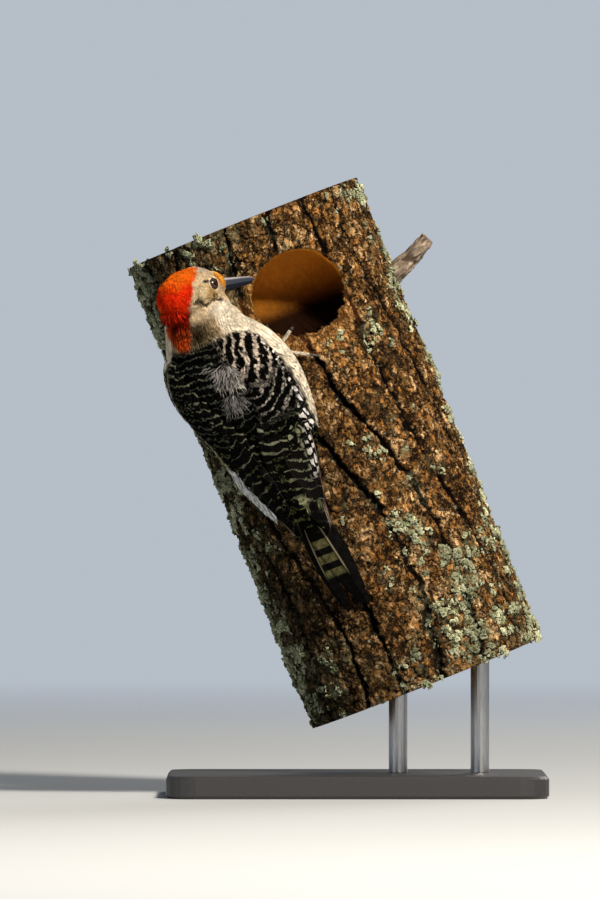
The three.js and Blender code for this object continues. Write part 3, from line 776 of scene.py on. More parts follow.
def skin_uv(points):
    """The bird's skin unrolled round its spine, and its head round its bill, side by side."""
    theta, y = round_body(points)
    body = np.stack([0.02 + 0.62 * (theta + 180) / 360, 0.02 + 0.96 * (y + 70) / 175], -1)
    head = moved(points, TO_HEAD)
    turn = np.degrees(np.arctan2(head[:, 0], head[:, 2]))
    crown = np.stack([0.68 + 0.30 * (turn + 180) / 360, 0.02 + 0.96 * (head[:, 1] + 30) / 55], -1)
    return np.clip(np.where(headness(points)[:, None] > 0.5, crown, body), 0.004, 0.996)


def vane_faces(stations):
    """Triangles of a closed vane: its root, four points at each station, and its tip."""
    tris = []
    last = 1 + 4 * (stations - 1)
    for k in range(4):
        tris.append((0, 1 + (k + 1) % 4, 1 + k))
        tris.append((last + 4, last + k, last + (k + 1) % 4))
    for s in range(stations - 1):
        for k in range(4):
            a, b = 1 + 4 * s + k, 1 + 4 * s + (k + 1) % 4
            tris += [(a, b, b + 4), (a, b + 4, a + 4)]
    return np.array(tris)


def lay_vanes(name, surface, roots, normals, size, profile, lift, seed, swing, marks=markings, flow=lie,
              keep_phase=0.12, loft=None, camber=0.12):
    """Lays closed leaf-shaped vanes on a surface, one from each root, along the lie of the coat. profile is
    (share of the length, share of the half width) at each station; lift is how far root and tip stand off."""
    random = np.random.default_rng(seed)
    count = len(roots)
    chance = random.random(count)
    length = size[0] * random.uniform(0.82, 1.15, count)
    width = size[1] * random.uniform(0.85, 1.12, count)
    ways = flow(roots)
    ways = unit(ways - normals * np.sum(ways * normals, 1, keepdims=True))
    angle = np.radians(random.normal(0, swing, count))[:, None]
    ways = ways * np.cos(angle) + np.cross(normals, ways) * np.sin(angle)
    rise = random.uniform(0.93, 1.09, count) * (1 if loft is None else loft(roots))

    def spine(share):
        place, out = surface.nearest(roots + ways * (length * share)[:, None])
        height = (lift[0] + (lift[1] - lift[0]) * share) * rise
        return place + out * height[:, None], out

    before, _ = spine(0.0)
    points, quill = [before], [(0.0, 0.0)]
    for share, wide in profile:
        centre, out = spine(share)
        side = unit(np.cross(unit(centre - before + 1e-6), out))
        half = (width * wide / 2)[:, None]
        drop = out * (half * camber + 0.02)
        under = centre - out * (VANE_THICK + half * camber)
        points += [centre - side * half - drop, centre + out * 0.05, centre + side * half - drop, under]
        quill += [(-wide, share), (0.0, share), (wide, share), (0.0, share)]
        before = centre
    points.append(spine(1.0)[0])
    quill.append((0.0, 1.0))

    per = len(points)
    places = np.stack(points, 1).reshape(-1, 3)
    quill = np.concatenate([np.tile(quill, (count, 1)), np.repeat(chance, per)[:, None]], 1)
    uv = np.repeat(skin_uv(roots), per, 0) + PATCH * np.stack([quill[:, 0] / 2, quill[:, 1] - 0.5], -1)
    found = marks(places, np.repeat((chance - 0.5) * keep_phase, per))
    faces = copies(vane_faces(len(profile)), per, count)
    return make_mesh(name, places, faces, BIRD_FRAME, uv, quill=quill, **found)


# ------------------------------------------------------------------ skin and body coat


def build_skin():
    """One skin over head, neck and body, inside their solids by the coat's depth, with the ear's swell and
    the fold between cheek and neck."""
    points, quads, normals = remeshed(*node_mesh("head", "neck", "body", grow=0.25), 0.8, 6)
    on_head = headness(points)
    head = folded_head(points)
    _, y, z = head.T
    depth = 1.15 - 0.35 * on_head - 0.45 * smooth(11, 17, y) * on_head
    depth = depth + 1.1 * smooth(3, -5, y) * smooth(-9, 1, z) * on_head
    depth = depth + 1.2 * smooth(16, 10, y) * smooth(3, 8, z) * on_head
    fold = hump(z - at(FOLD, y), 0, 1.7) * smooth(-13, -9, y) * smooth(9, 6, y)
    depth = depth + 0.9 * fold - 0.55 * patch(head, (14, -4.2, -2.0), (6, 5.2, 4.8), 0.1)
    depth = depth + 0.4 * patch(head, (14, -1.4, 3.4), (5, 2.2, 1.2), 0.1)
    points = points - normals * depth[:, None]
    quill = np.tile((0.5, 0.45, 0.4), (len(points), 1))
    skin = make_mesh("skin", points, quads, BIRD_FRAME, skin_uv(points), quill=quill, **markings(points))
    dress(skin, "plumage", "feathers", "head", "neck", "body")
    return Surface(points, quads)


def full_breast(points):
    """How far the breast's feathers stand off: most on the crop and the right side, least at the throat."""
    theta, y = round_body(points)
    return 0.30 + 0.70 * smooth(60, 46, y) * smooth(70, 84, theta) * smooth(-16, 0, y)


def full_nape(points):
    """How far the neck's feathers stand off: most in the hollow under the back of the head."""
    theta, y = round_body(points)
    return 1 + 1.5 * hump(theta, NAPE - 10, 55) * hump(y, 79, 11)


def bare(points):
    """0 round the eyes and on the bill's base, where no coat grows, 1 elsewhere."""
    head = folded_head(points)
    away = np.linalg.norm(head - np.array(EYE["place"]), axis=1)
    return ((away > 3.75) & (head[:, 1] < 18.5)).astype(float)


def belly(p):
    theta, y = round_body(p)
    return ((theta > at(BELLY_RIGHT, y)) | (theta < -at(BELLY_LEFT, y))) * (headness(p) < 0.5) * (y < 60)


def breast(p):
    theta, y = round_body(p)
    return (theta > at(BREAST_START, y)) * (theta < 128) * (y > -12) * (y < 66) * (headness(p) < 0.5)


def mantle(p):
    theta, y = round_body(p)
    right = np.where(y < -13, at(RUMP_RIGHT, y), at(COVERT_START, y) + 7)
    return (theta < right) * (theta > -at(MANTLE_LEFT, y)) * (y < 61) * (y > -62) * (headness(p) < 0.5)


def left_flank(low, high):
    """A test for the strip of the left flank between two places along the spine."""

    def keep(p):
        theta, y = round_body(p)
        return (theta < -46) * (theta > -92) * (y > low) * (y < high)

    return keep


def loose(p):
    """Two ragged patches on the back, where its down shows."""
    theta, y = round_body(p)
    ragged = 9 * (noise(p, 3, 46) - 0.5)
    first = (np.abs(theta - 16) < 9 + ragged) & (np.abs(y - 42) < 5 + 0.7 * ragged)
    second = (np.abs(theta - 7) < 9 + ragged) & (np.abs(y - 29) < 3 + 0.6 * ragged)
    return (first | second) * (headness(p) < 0.5)


def collar(p):
    return (p[:, 1] > 56) * (headness(p) < 0.5) * bare(p)


def whole_head(p):
    return (headness(p) >= 0.5) * bare(p)


def nostrils(p):
    x, y, z = folded_head(p).T
    return (y > 10.8) * (y < 18.5) * (z > 0.2) * (z < 8) * (x < 9.5)


def orange(points, jitter):
    tint = blend((1.0, 0.33, 0.02), (1.0, 0.52, 0.08), noise(points, 1.2, 5))
    return {**markings(points, jitter), "tint": tint}


def unbarred(points, jitter, tint):
    found = markings(points, jitter)
    return {**found, "tint": tint, "bars": found["bars"] * (1, 1, 0)}


def white_flank(points, jitter):
    return unbarred(points, jitter, np.tile((0.90, 0.92, 0.92), (len(points), 1)))


def downy(points, jitter):
    """Grey down, each strand of its own shade, with a whitish rim between its two patches."""
    theta, y = round_body(points)
    rim = hump(y - 0.10 * (theta - 12), 31.8, 3.0) * hump(theta, 12, 20)
    own = (0.35 + 12 * np.clip(jitter + 0.06, 0, 0.12)) * (0.6 + 0.8 * noise(points, 2.2, 44))
    tint = blend((0.27, 0.255, 0.25), (0.62, 0.60, 0.52), rim)
    return unbarred(points, jitter, tint * (np.where(y < 30, 0.5, 1.0) * own)[:, None])


def build_coat(skin, carrier):
    """Down and contour feathers, laid from the tail to the bill."""
    down = {"marks": downy, "flow": fanned}
    white = {"marks": white_flank}
    bristles = {"marks": orange, "flow": forwards}
    coats = (
        # name, surface, spacing, where, (length, width), profile, (lift at root and tip), seed, swing, more
        ("belly", skin, 0.95, belly, (8.5, 1.8), LOCK, (0.3, 1.9), 11, 6, {}),
        ("breast", skin, 0.9, breast, (9.0, 2.5), LEAF, (2.9, 3.9), 13, 5, {"loft": full_breast}),
        ("flank", skin, 1.2, left_flank(-34, 22), (9.0, 1.7), LEAF, (1.2, 3.0), 15, 9, white),
        ("flank_low", skin, 1.2, left_flank(-40, -14), (9.5, 2.0), LEAF, (2.2, 4.4), 17, 9, white),
        ("mantle", carrier, 1.1, mantle, (7.6, 3.6), LEAF, (0.1, 1.2), 21, 8, {"keep_phase": 0.34}),
        ("down", carrier, 0.6, loose, (4.8, 0.34), LEAF, (0.4, 1.8), 25, 30, down),
        ("down_long", carrier, 1.0, loose, (7.4, 0.26), LEAF, (0.9, 2.4), 27, 26, down),
        ("neck", skin, 0.62, collar, (5.6, 0.9), LOCK, (0.4, 1.9), 31, 9, {"loft": full_nape}),
        ("head", skin, 0.42, whole_head, (2.9, 0.72), LOCK, (0.1, 0.85), 41, 9, {}),
        ("nostril", skin, 0.42, nostrils, (4.0, 0.55), LOCK, (0.25, 1.0), 51, 9, bristles),
    )
    for name, surface, spacing, keep, size, profile, lift, seed, swing, more in coats:
        roots = surface.scatter(spacing, keep, seed)
        piece = lay_vanes(f"coat_{name}", surface, *roots, size, profile, lift, seed + 1, swing, **more)
        dress(piece, "plumage", "feathers")


# ------------------------------------------------------------------ wings

# Where the flight feathers' tips lie: down the inner edge to the wing tip, and then up the outer edge.
TIP_RANKS = (0, 2, 4, 7, 9, 11, 13, 14, 15, 16)
TIP_ANGLES = {1: (14, 19, 24, 30, 36, 46, 58, 68, 78, 88), -1: (14, 19, 24, 30, 36, 46, 58, 68, 78, 53)}
TIP_ALONG = (-30, -40, -46, -50, -56, -62, -66, -65.5, -61, -52)
FLIGHT_COUNT = 17
# Where each row of coverts ends, from the greater coverts up to the small ones at the bend.
COVERT_ROWS = (
    -12.0, -7.0, -2.2, 2.6, 7.2, 11.6, 15.8, 19.8, 23.6, 27.2, 30.6, 33.8, 36.8, 39.6, 42.2, 44.6, 46.8, 48.8,
)

WING_BLACK = ((0.0009, 0.0009, 0.0009), (0.0030, 0.0027, 0.0023))
TAIL_BLACK = ((0.0014, 0.0014, 0.0014), (0.005, 0.0045, 0.004))


def vane_strip(centre, out, left, right, height, thick, columns):
    """One long closed vane along a line of places: half widths to each side, a height profile across it.
    Gives its rings of points, and where each point is across and along it."""
    rings = len(centre)
    side = unit(np.cross(unit(np.gradient(centre, axis=0)), out))
    shares = np.linspace(-1, 1, 2 * columns + 1)
    top, quill = [], []
    for share in shares:
        reach = np.where(share < 0, left, right) * share
        top.append(centre + side * reach[:, None] + out * height(share))
        quill.append(np.stack([np.full(rings, share), np.linspace(0, 1, rings)], -1))
    under = [t - out * thick * (1 - abs(s) ** 3) for t, s in zip(top[1:-1], shares[1:-1])][::-1]
    return np.stack(top + under, 1), np.stack(quill + quill[1:-1][::-1], 1)


def join_vanes(vanes, tags):
    """Joins strips into one piece, each with its own number and its own box on the map."""
    points, faces, quill, uv, start = [], [], [], [], 0
    columns = math.ceil(math.sqrt(len(vanes) / 4))
    rows = math.ceil(len(vanes) / columns)
    for i, ((places, local), tag) in enumerate(zip(vanes, tags)):
        rings, around = places.shape[:2]
        first = np.arange(around)
        shapes = (fan(first[::-1]), fan(first + (rings - 1) * around), tube(rings, around))
        faces += [shape + start for shape in shapes]
        points.append(places.reshape(-1, 3))
        local = local.reshape(-1, 2)
        quill.append(np.concatenate([local, np.full((len(local), 1), tag)], 1))
        row, column = divmod(i, columns)
        box = [(column + 0.5 + 0.42 * local[:, 0]) / columns, (row + 0.06 + 0.88 * local[:, 1]) / rows]
        uv.append(np.stack(box, -1))
        start += rings * around
    return np.concatenate(points), faces, np.concatenate(quill), np.concatenate(uv)


def wing_edges(side, y):
    """The folded wing's upper and lower edges, in degrees, and its depth, at places along the spine."""
    upper, right, left, thick = along(WING, y)
    return upper, (right if side > 0 else left), thick


def rounded(share, start, power, least):
    """The width of a feather along it: full to the start, then rounding off to its tip."""
    return np.sqrt(np.clip(1 - (np.clip(share - start, 0, 1) / (1 - start)) ** power, least, 1))


def flight_feathers(side):
    """The folded wing's tertials, secondaries and primaries, the innermost on top."""
    vanes, tags = [], []
    share = np.linspace(0, 1, 22)
    for rank in range(FLIGHT_COUNT):
        tip_angle = np.interp(rank, TIP_RANKS, TIP_ANGLES[side])
        tip_y = np.interp(rank, TIP_RANKS, TIP_ALONG)
        if side < 0:
            tip_angle = 12 + (tip_angle - 12) * 0.52
        q = rank / (FLIGHT_COUNT - 1)
        root_y = 12 - 4 * q
        upper, lower, _ = wing_edges(side, np.array([root_y, -8.0]))
        root_angle = upper[0] + (lower[0] - upper[0]) * (0.05 + 0.88 * q)
        middle_angle = upper[1] + (lower[1] - upper[1]) * (0.08 + 0.86 * q)
        y = root_y + (tip_y - root_y) * share
        bend = 2 * share * (1 - share)
        angle = root_angle * (1 - share) ** 2 + middle_angle * bend + tip_angle * share**2
        _, _, thick = wing_edges(side, y)
        lift = GAP + 0.35 + (thick - 0.55) * (1 - 0.8 * q)
        centre, out = on_bed(angle * side, y, lift)
        taper = rounded(share, np.interp(rank, (0, 8, 16), (0.90, 0.88, 0.78)), 2.2, 0.01)
        wide = np.interp(rank, (0, 5, 10, 16), (6.2, 5.4, 4.4, 3.0)) * (0.55 + 0.45 * smooth(0, 0.35, share))
        narrow = np.interp(rank, (0, 5, 10, 16), (5.0, 3.6, 2.6, 1.8)) * (0.6 + 0.4 * smooth(0, 0.3, share))
        webs = (narrow * taper, wide * taper)
        vanes.append(vane_strip(centre, out, *webs[::side], lambda s: -0.10 * s * s, 0.22, 6))
        tags.append(rank)
    return vanes, tags


def covert_feathers(side):
    """Rows of coverts over the wing, from the greater coverts up to the small ones at the bend."""
    vanes, tags = [], []
    share = np.linspace(0, 1, 9)
    random = np.random.default_rng(71 if side > 0 else 72)
    for row, tip_y in enumerate(COVERT_ROWS):
        size = float(np.interp(row, (0, 8, 17), (7.4, 5.6, 3.0)))
        climb = np.interp(row, (0, 17), (0.0, 0.5))
        upper, lower, _ = (v[0] for v in wing_edges(side, np.array([tip_y + 1.5])))
        _, _, w, top = along(WING_BED, np.array([tip_y]))
        pace = math.degrees(size * 0.72 / ((w[0] + top[0]) / 2))
        lean = math.degrees(2.0 / w[0])
        angles = np.arange(upper + (row % 2) * pace / 2, lower, pace)
        if side > 0:
            angles = angles[angles > np.interp(tip_y + size, *COVERT_START)]
        for angle in angles:
            tip = tip_y + random.uniform(-0.5, 0.5) + 0.02 * (angle - upper)
            root = tip + size * 1.9
            y = root + (tip - root) * share
            line = angle + random.uniform(-0.8, 0.8) + (share - 1) * lean
            _, _, depth = wing_edges(side, y)
            lift = GAP + np.clip(depth, 1.2, 4) * (0.52 + 0.42 * share) + climb * share
            centre, out = on_bed(line * side, y, lift)
            half = size / 2 * rounded(share, 0.55, 2.4, 0.012) * (0.7 + 0.3 * smooth(0, 0.4, share))
            tags.append(len(vanes) % 97 + row / 100)
            vanes.append(vane_strip(centre, out, half, half, lambda s: -0.22 * s * s, 0.16, 4))
    return vanes, tags


def flight_marks(points, theta, y, inland, across, random, side):
    """The flight feathers' bars: phase, light and spots; how blocked they are, and their patches and painted
    glints.
    """
    slope = np.interp(y, (-40, -20, 0), (0.14, 0.22, 0.31))
    waves = 0.5 * (noise(points, 5, 6) - 0.5)
    phase = (y + slope * (theta - 15)) / 6.8 + 0.03 + 0.22 * (random - 0.5) - 0.10 * np.abs(across) + waves
    light = 0.42 * noise(points, 4, 7) ** 1.4 * smooth(-50, -40, y)
    if side < 0:
        # On the left wing a painted glint on the black primaries.
        return phase, light * 0.8, 0.0, 0.0, hump(theta, 10, 9) * hump(y, -50.5, 3)
    grid = smooth(-37, -31, y) * smooth(14.2, 12.6, inland)
    fall = (-37 - 0.19 * (theta - 8) - y) / 12
    left, right = 8 + 15 * fall, 31 - 7 * fall
    patches_and_glints = smooth(left - 1, left + 1.5, theta) * smooth(right + 1, right - 1.5, theta)
    patches_and_glints = patches_and_glints * smooth(-0.05, 0.08, fall) * smooth(1.05, 0.95, fall)
    # A painted glint on the right wing's black primaries.
    patches_and_glints = np.maximum(patches_and_glints, hump(theta, 56, 8) ** 0.5 * hump(y + 0.08 * (theta - 56), -50, 2.3))
    line = np.interp(y, (-60, -52, -41, -38), (19, 24, 30.5, 31))
    patches_and_glints = np.maximum(patches_and_glints, 0.8 * hump(theta, line, 1.8) * smooth(-38, -40, y))
    return phase, light * smooth(11, 13, inland), 0.0, grid, patches_and_glints


def covert_marks(points, theta, y, inland, random, side):
    """The coverts' bars: phase, light and spots; how blocked they are, and their patches."""
    if side > 0:
        grid = smooth(20, 14, y) * smooth(14.2, 12.6, inland)
        phase = y / 3.4 + 1.2 * noise(points, 4, 5)
        return phase, 0.30 * smooth(31, 35, y), smooth(33, 29, y) * (1 - grid), grid, 0.0 * y
    waves = 0.8 * noise(points, 9, 8) + 0.7 * noise(points, 2.6, 9)
    phase = (y - 0.05 * theta) / 4.6 + waves + 0.3 * (random - 0.5)
    return phase, 0.24 * (0.3 + 1.3 * noise(points, 4, 12)), 0.0, 0.0, 2.0 * left_edge(-theta, y)


def wing_marks(points, quill, side, kind):
    """The wing's bars, blocks and spots: phase and light for the bars, a grid for the blocks near the edge,
    where spots may be, how dull the pale marks are, partly tint and partly painted shade, and painted glints."""
    theta, y = round_body(points)
    theta = theta * side
    across, _, tag = quill.T
    random = hashed(np.floor(tag)[:, None], 3)
    inland = np.radians(wing_edges(side, y)[1] - theta) * along(WING_BED, y)[2]
    # The pale marks turn dull inwards and low on the wing, partly their own tint and partly painted shade.
    olive_and_shade = (0.45 + 0.5 * smooth(20, 4, y)) * smooth(66, 52, theta)
    if kind == "flight":
        phase, light, spot, grid, patches_and_glints = flight_marks(points, theta, y, inland, across, random, side)
        outermost = np.where(tag > 15.5, 1.0, 0.8 * smooth(-49, -54, y) * (tag > 12.5))
        edge = smooth(0.60, 0.90, -across * side) * outermost
    else:
        phase, light, spot, grid, patches_and_glints = covert_marks(points, theta, y, inland, random, side)
        edge = 0.0
    # The left wing lies on the bird's shaded side: its pale marks are dull throughout, partly as painted
    # shade.
    if side < 0:
        olive_and_shade = np.maximum(olive_and_shade, 0.85 if kind == "flight" else 0.96)
    level = points @ (0.353, 0.833, -0.425)
    column = inland / 4.2 + 0.7 * noise(points, 3.5, 14)
    return {
        "bars": triple(phase, light, spot),
        "shade": triple(random, edge, olive_and_shade),
        "cells": triple(column, level / 5.8 + 0.7 * noise(points, 3, 15), grid),
        "patches_and_glints": triple(patches_and_glints, float(side < 0), 0.0),
    }


def wing_material():
    """Black wing feathers with off-white bars across them, or a spot near the tip of each."""
    n = Nodes("wing_feathers")
    phase, light, spotted = n.attribute("bars")
    chance, edge, olive_and_shade = n.attribute("shade")
    patches_and_glints, narrow, _ = n.attribute("patches_and_glints")
    column, cell, blocked = n.attribute("cells")
    across, length, _ = n.attribute("quill")
    aside = abs(across)
    fine = n.noise(1200, rough=0.7)
    mottle = n.noise(300)

    half = light * 0.5
    bar = n.step(n.folded(phase + fine * 0.10), half + 0.03, half - 0.03)
    # A spot is a triangle that widens towards the feather's tip; on the left wing it is cut to a thin bar.
    past = length - n.step(narrow, 0.0, 1.0, 0.66, 0.80)
    inside = n.step(aside - (past * 2.6 + chance * 0.10), 0.05, -0.05) * n.step(length, 0.93, 0.90)
    spot = inside * n.step(past, 0.0, 0.04) * spotted
    row = n.folded(n.math("FLOOR", column) * 0.37 + (cell + mottle * 0.5))
    block = n.step(n.folded(column), 0.12, 0.17) * n.step(row, 0.22, 0.26) * blocked

    white = n.ramp(mottle, 0.3, 0.7, (0.30, 0.285, 0.28), (0.60, 0.57, 0.56))
    # dull: pale marks that are partly tinted and partly in painted shade.
    dull = n.ramp(mottle, 0.3, 0.7, (0.040, 0.043, 0.022), (0.120, 0.124, 0.070))
    colour = n.mix(bar | spot | block, n.ramp(mottle, 0.3, 0.8, *WING_BLACK), n.mix(olive_and_shade, white, dull))
    # Patches, the pale left edge and the painted glints on the primaries.
    colour = n.mix(patches_and_glints, colour, n.ramp(mottle, 0.3, 0.7, (0.12, 0.125, 0.055), (0.25, 0.255, 0.14)))
    colour = n.mix(edge * 0.85, colour, (0.34, 0.25, 0.20))
    colour = n.mix(n.step(aside, 0.0, 0.05, 1.0, 0.0) * 0.5, colour, (0.010, 0.009, 0.008))
    rim = n.step(aside, 0.80, 0.97, 0.0, 0.5) * n.step(length, 0.3, 0.6)
    colour = n.mix(rim, colour, (0.012, 0.011, 0.010))
    height = n.barbs(length, aside, -0.2, 240) + fine
    return n.finish(colour, 0.85, height, 0.00010, 0.5, Specular_IOR_Level=0.02)


def build_wings():
    for name, side in (("right", 1), ("left", -1)):
        for kind, maker in (("flight", flight_feathers), ("coverts", covert_feathers)):
            points, faces, quill, uv = join_vanes(*maker(side))
            found = wing_marks(points, quill, side, kind)
            piece = make_mesh(f"wing_{name}_{kind}", points, faces, BIRD_FRAME, uv, quill=quill, **found)
            nodes = (f"wing_{name}",) if kind == "flight" else ()
            dress(piece, "wing", "barred_feathers", *nodes)


# ------------------------------------------------------------------ tail

TAIL_ROOT = -60.4
TAIL_SHIFT = 1.6
# From the middle pair outwards: the shaft's tip, the widths of the two webs, and the outer web's drop.
TAIL_FEATHERS = (
    # x, y, z, inner, outer, drop
    (6.3, -115.5, -3.8, 6.5, 3, 1.8),
    (7.4, -108, -3.6, 4.6, 2.8, 2.2),
    (8, -100, -3.5, 4.4, 2.6, 2.4),
    (8.2, -91, -3.3, 4.2, 2.4, 2.4),
    (7.8, -81, -3, 4, 2.2, 2.2),
)


def tail_profile(side, drop):
    """The height of a tail feather across it: a ridge at the shaft, and webs that fall away from it."""

    def height(web):
        fall = drop if web * side < 0 else 0.12
        return -fall * abs(web) ** 1.2 + 0.28 * max(0.0, 1 - abs(web) * 9)

    return height


def build_tail():
    vanes, tags = [], []
    share = np.linspace(0, 1, 30)
    s = share[:, None]
    taper, slim = (np.sqrt(np.clip(1 - 0.985 * share**power, 0.004, 1)) for power in (3.2, 2.4))
    out = np.tile((0.0, 0.0, 1.0), (len(share), 1))
    for side in (1, -1):
        for rank, (x, y, z, inner, outer, drop) in enumerate(TAIL_FEATHERS):
            under = 0.0 if side > 0 else 0.3
            root = np.array((4.2, TAIL_ROOT, 1.4 - rank * 0.8 - under))
            middle = np.array((x, (TAIL_ROOT + y) / 2, 0.9 - rank * 0.9 - under))
            tip = np.array((x, y, z))
            centre = root * (2 * s - 1) * (s - 1) + middle * 4 * s * (1 - s) + tip * s * (2 * s - 1)
            centre[:, 0] = centre[:, 0] * side + TAIL_SHIFT
            # The right of the middle pair lies on top and covers the left one's inner web.
            webs = (outer * taper, inner * slim * (1.45 if rank == 0 and side > 0 else 1))
            vanes.append(vane_strip(centre, out, *webs[::side], tail_profile(side, drop), 0.6, 6))
            tags.append(rank + (0 if side > 0 else 10))
    points, faces, quill, uv = join_vanes(vanes, tags)
    quill[:, 0] *= np.where(quill[:, 2] >= 10, -1, 1)
    y = points[:, 1]
    squares = smooth(-94, -91, y) * smooth(-65, -67, y) * (quill[:, 2] % 10 < 0.5)
    tone = triple(squares, (y + 71.4) / 9.2, smooth(-95, -86, y))
    piece = make_mesh("tail_feathers", points, faces, BIRD_FRAME, uv, quill=quill, tone=tone)
    dress(piece, "tail", "barred_feathers", "tail")


def tail_material():
    """Black tail feathers with pale shafts, and white squares along the inner web of the middle pair, dimmed
    by painted shade.
    """
    n = Nodes("tail_feathers")
    across, length, _ = n.attribute("quill")
    squares, phase, shafts = n.attribute("tone")
    aside = abs(across)
    fine = n.noise(1200, rough=0.7)
    mottle = n.noise(350)
    white = n.step(n.folded(phase + fine * 0.08), 0.30, 0.25) * n.step(across, 0.10, 0.18) * squares
    # The white squares are dimmed to a dull grey-green as painted shade.
    pale = n.ramp(mottle, 0.3, 0.7, (0.040, 0.038, 0.014), (0.100, 0.094, 0.042))
    colour = n.mix(white, n.ramp(mottle, 0.3, 0.8, *TAIL_BLACK), pale)
    colour = n.mix(n.step(aside, 0.10, 0.05) * shafts * 0.9, colour, (0.15, 0.13, 0.08))
    height = n.barbs(length, aside, -0.12, 420) + fine
    return n.finish(colour, 0.85, height, 0.00012, 0.5, Specular_IOR_Level=0.02)


# ------------------------------------------------------------------ bark

FURROW = {"count": 16, "first": math.radians(21.4), "half": 2.7, "depth": 4.4, "twist": 0.24, "wander": 0.16}
TRUNK_AROUND = 600
TRUNK_ROWS = 388
PLATES_ROUND = 66
FLAKES_ROUND = 104
# Behind its lip the bore widens a little and ends in a rounded pocket: its width as a share of the mouth's,
# at shares of its depth.
BORE = (
    (0.975, 0.03), (0.965, 0.09), (0.985, 0.18), (1.01, 0.28), (1.03, 0.38), (1.035, 0.48), (1.01, 0.58),
    (0.97, 0.67), (0.91, 0.76), (0.82, 0.84), (0.68, 0.91), (0.5, 0.96), (0.28, 0.99),
)
HOLE_CENTRE = on_trunk(HOLE["along"], HOLE["bearing"], TRUNK_RADIUS)
# Across, up and inwards from the middle of the hole's mouth.
HOLE_AXES = np.array(
    [
        (math.cos(HOLE["bearing"]), math.sin(HOLE["bearing"]), 0),
        (0, 0, 1),
        (-math.sin(HOLE["bearing"]), math.cos(HOLE["bearing"]), 0),
    ]
)


def in_hole(points):
    """The trunk's points across, up and inwards from the middle of the hole's mouth."""
    return (points - HOLE_CENTRE) @ HOLE_AXES.T


def out_of_hole(local):
    return local @ HOLE_AXES + HOLE_CENTRE


def furrow_at(bearing, height):
    """How far a point of the bark is from the middle of the nearest furrow, and that furrow's depth."""
    step = 2 * math.pi / FURROW["count"]
    nearest = np.full(bearing.shape, 99.0)
    depth = np.zeros(bearing.shape)
    for number in range(FURROW["count"]):
        own = FURROW["wander"] * np.sin(height / 31 + 2.1 * number + 3.1)
        line = FURROW["first"] + (number + own) * step - FURROW["twist"] * np.sin(height / TRUNK_RADIUS)
        away = ((bearing - line + math.pi) % (2 * math.pi) - math.pi) * TRUNK_RADIUS
        closer = np.abs(away) < np.abs(nearest)
        nearest = np.where(closer, away, nearest)
        deep = FURROW["depth"] * (0.35 + 0.65 * np.sin(height / 47 + 1.7 * number + 1.2) ** 2)
        depth = np.where(closer, deep, depth)
    return nearest, depth


def bark_relief(bearing, height):
    """Furrows with flaky ridges between them: how far the bark stands under the trunk's radius, how high on
    its ridge a point is, and a number for the flake."""
    across = bearing * TRUNK_RADIUS
    turns = bearing / (2 * math.pi)
    flat = triple(np.cos(bearing) * TRUNK_RADIUS, np.sin(bearing) * TRUNK_RADIUS, height)
    away, depth = furrow_at(bearing, height)
    jagged = np.abs(away + 3.4 * (noise(flat, 8, 21) - 0.5) + 2.4 * (noise(flat, 2.6, 22) - 0.5))
    wide = FURROW["half"] * (0.35 + 0.9 * noise(flat, 12, 20))
    furrow = depth * smooth(wide, 0.35, jagged) + 0.7 * smooth(wide * 2.6, 0, jagged)

    warp = 3.0 * (noise(flat, 9, 23) - 0.5) + 1.6 * (noise(flat, 3, 24) - 0.5)
    around = 2 * math.pi * TRUNK_RADIUS
    plates_over = (across + warp) / around * PLATES_ROUND
    plate, number, hang = cracked(plates_over, (height + 1.4 * warp) / 10.5, PLATES_ROUND, 31)
    flakes_over = (across + 0.7 * warp) / around * FLAKES_ROUND
    edge, flake, drop = cracked(flakes_over, (height + 1.2 * warp) / 2.35 + 24 * turns, FLAKES_ROUND, 37)
    crack = np.abs((height / 13 + 17 * turns + 1.5 * noise(flat, 16, 25)) % 1.0 - 0.5)
    cross = smooth(0.05, 0.0, crack) * smooth(0.42, 0.6, noise(flat, 14, 26))
    relief = 1.0 * number - 0.9 * hang - 0.9 * smooth(0.12, 0, plate) + 0.65 * flake - 0.5 * drop
    relief = relief - 0.6 * smooth(0.2, 0, edge) - 1.3 * cross + 1.2 * (fractal(flat, 2.0, 3, 41) - 0.5)
    deep = furrow + np.clip(1.3 - relief, -0.15, 3.2)
    level = np.clip(1 - deep / 4.2, 0, 1) - 0.22 * smooth(0.16, 0, edge)
    return deep, np.clip(level, 0, 1), 0.35 * number + 0.65 * flake


def wear(surface, share, deep):
    """How bare the wood is round the hole, most of all below it, and how deep the worn bark lies."""
    local = in_hole(surface)
    downwards = np.clip(-local[:, 1] / HOLE["up"], -1.2, 2) / np.maximum(share, 0.6)
    leftwards = np.clip(-local[:, 0] / HOLE["across"], 0, 2) / np.maximum(share, 0.6)
    worn_to = 1.0 + 0.50 * smooth(0.1, 0.95, downwards) + 0.20 * smooth(0.4, 1.0, leftwards)
    ragged = share + 0.34 * (noise(surface, 6, 51) - 0.5) + 0.16 * (noise(surface, 2.2, 52) - 0.5)
    worn = smooth(worn_to + 0.05, worn_to - 0.07, ragged)
    crumbs = 4.2 * smooth(-0.2, 0.7, downwards) * (fractal(surface, 2.6, 3, 53) - 0.45)
    return worn, deep * (1 - 0.6 * worn) + worn * (0.9 + crumbs) + smooth(1.24, 1.0, share) ** 2


def open_rim(quads, share):
    """The points round the opening that is left in the bark's grid."""
    edges = np.concatenate([quads[:, [i, (i + 1) % 4]] for i in range(4)])
    _, first, counts = np.unique(np.sort(edges, 1), axis=0, return_index=True, return_counts=True)
    border = edges[first[counts == 1]]
    return np.unique(border[(share[border] < 1.4).all(1)])


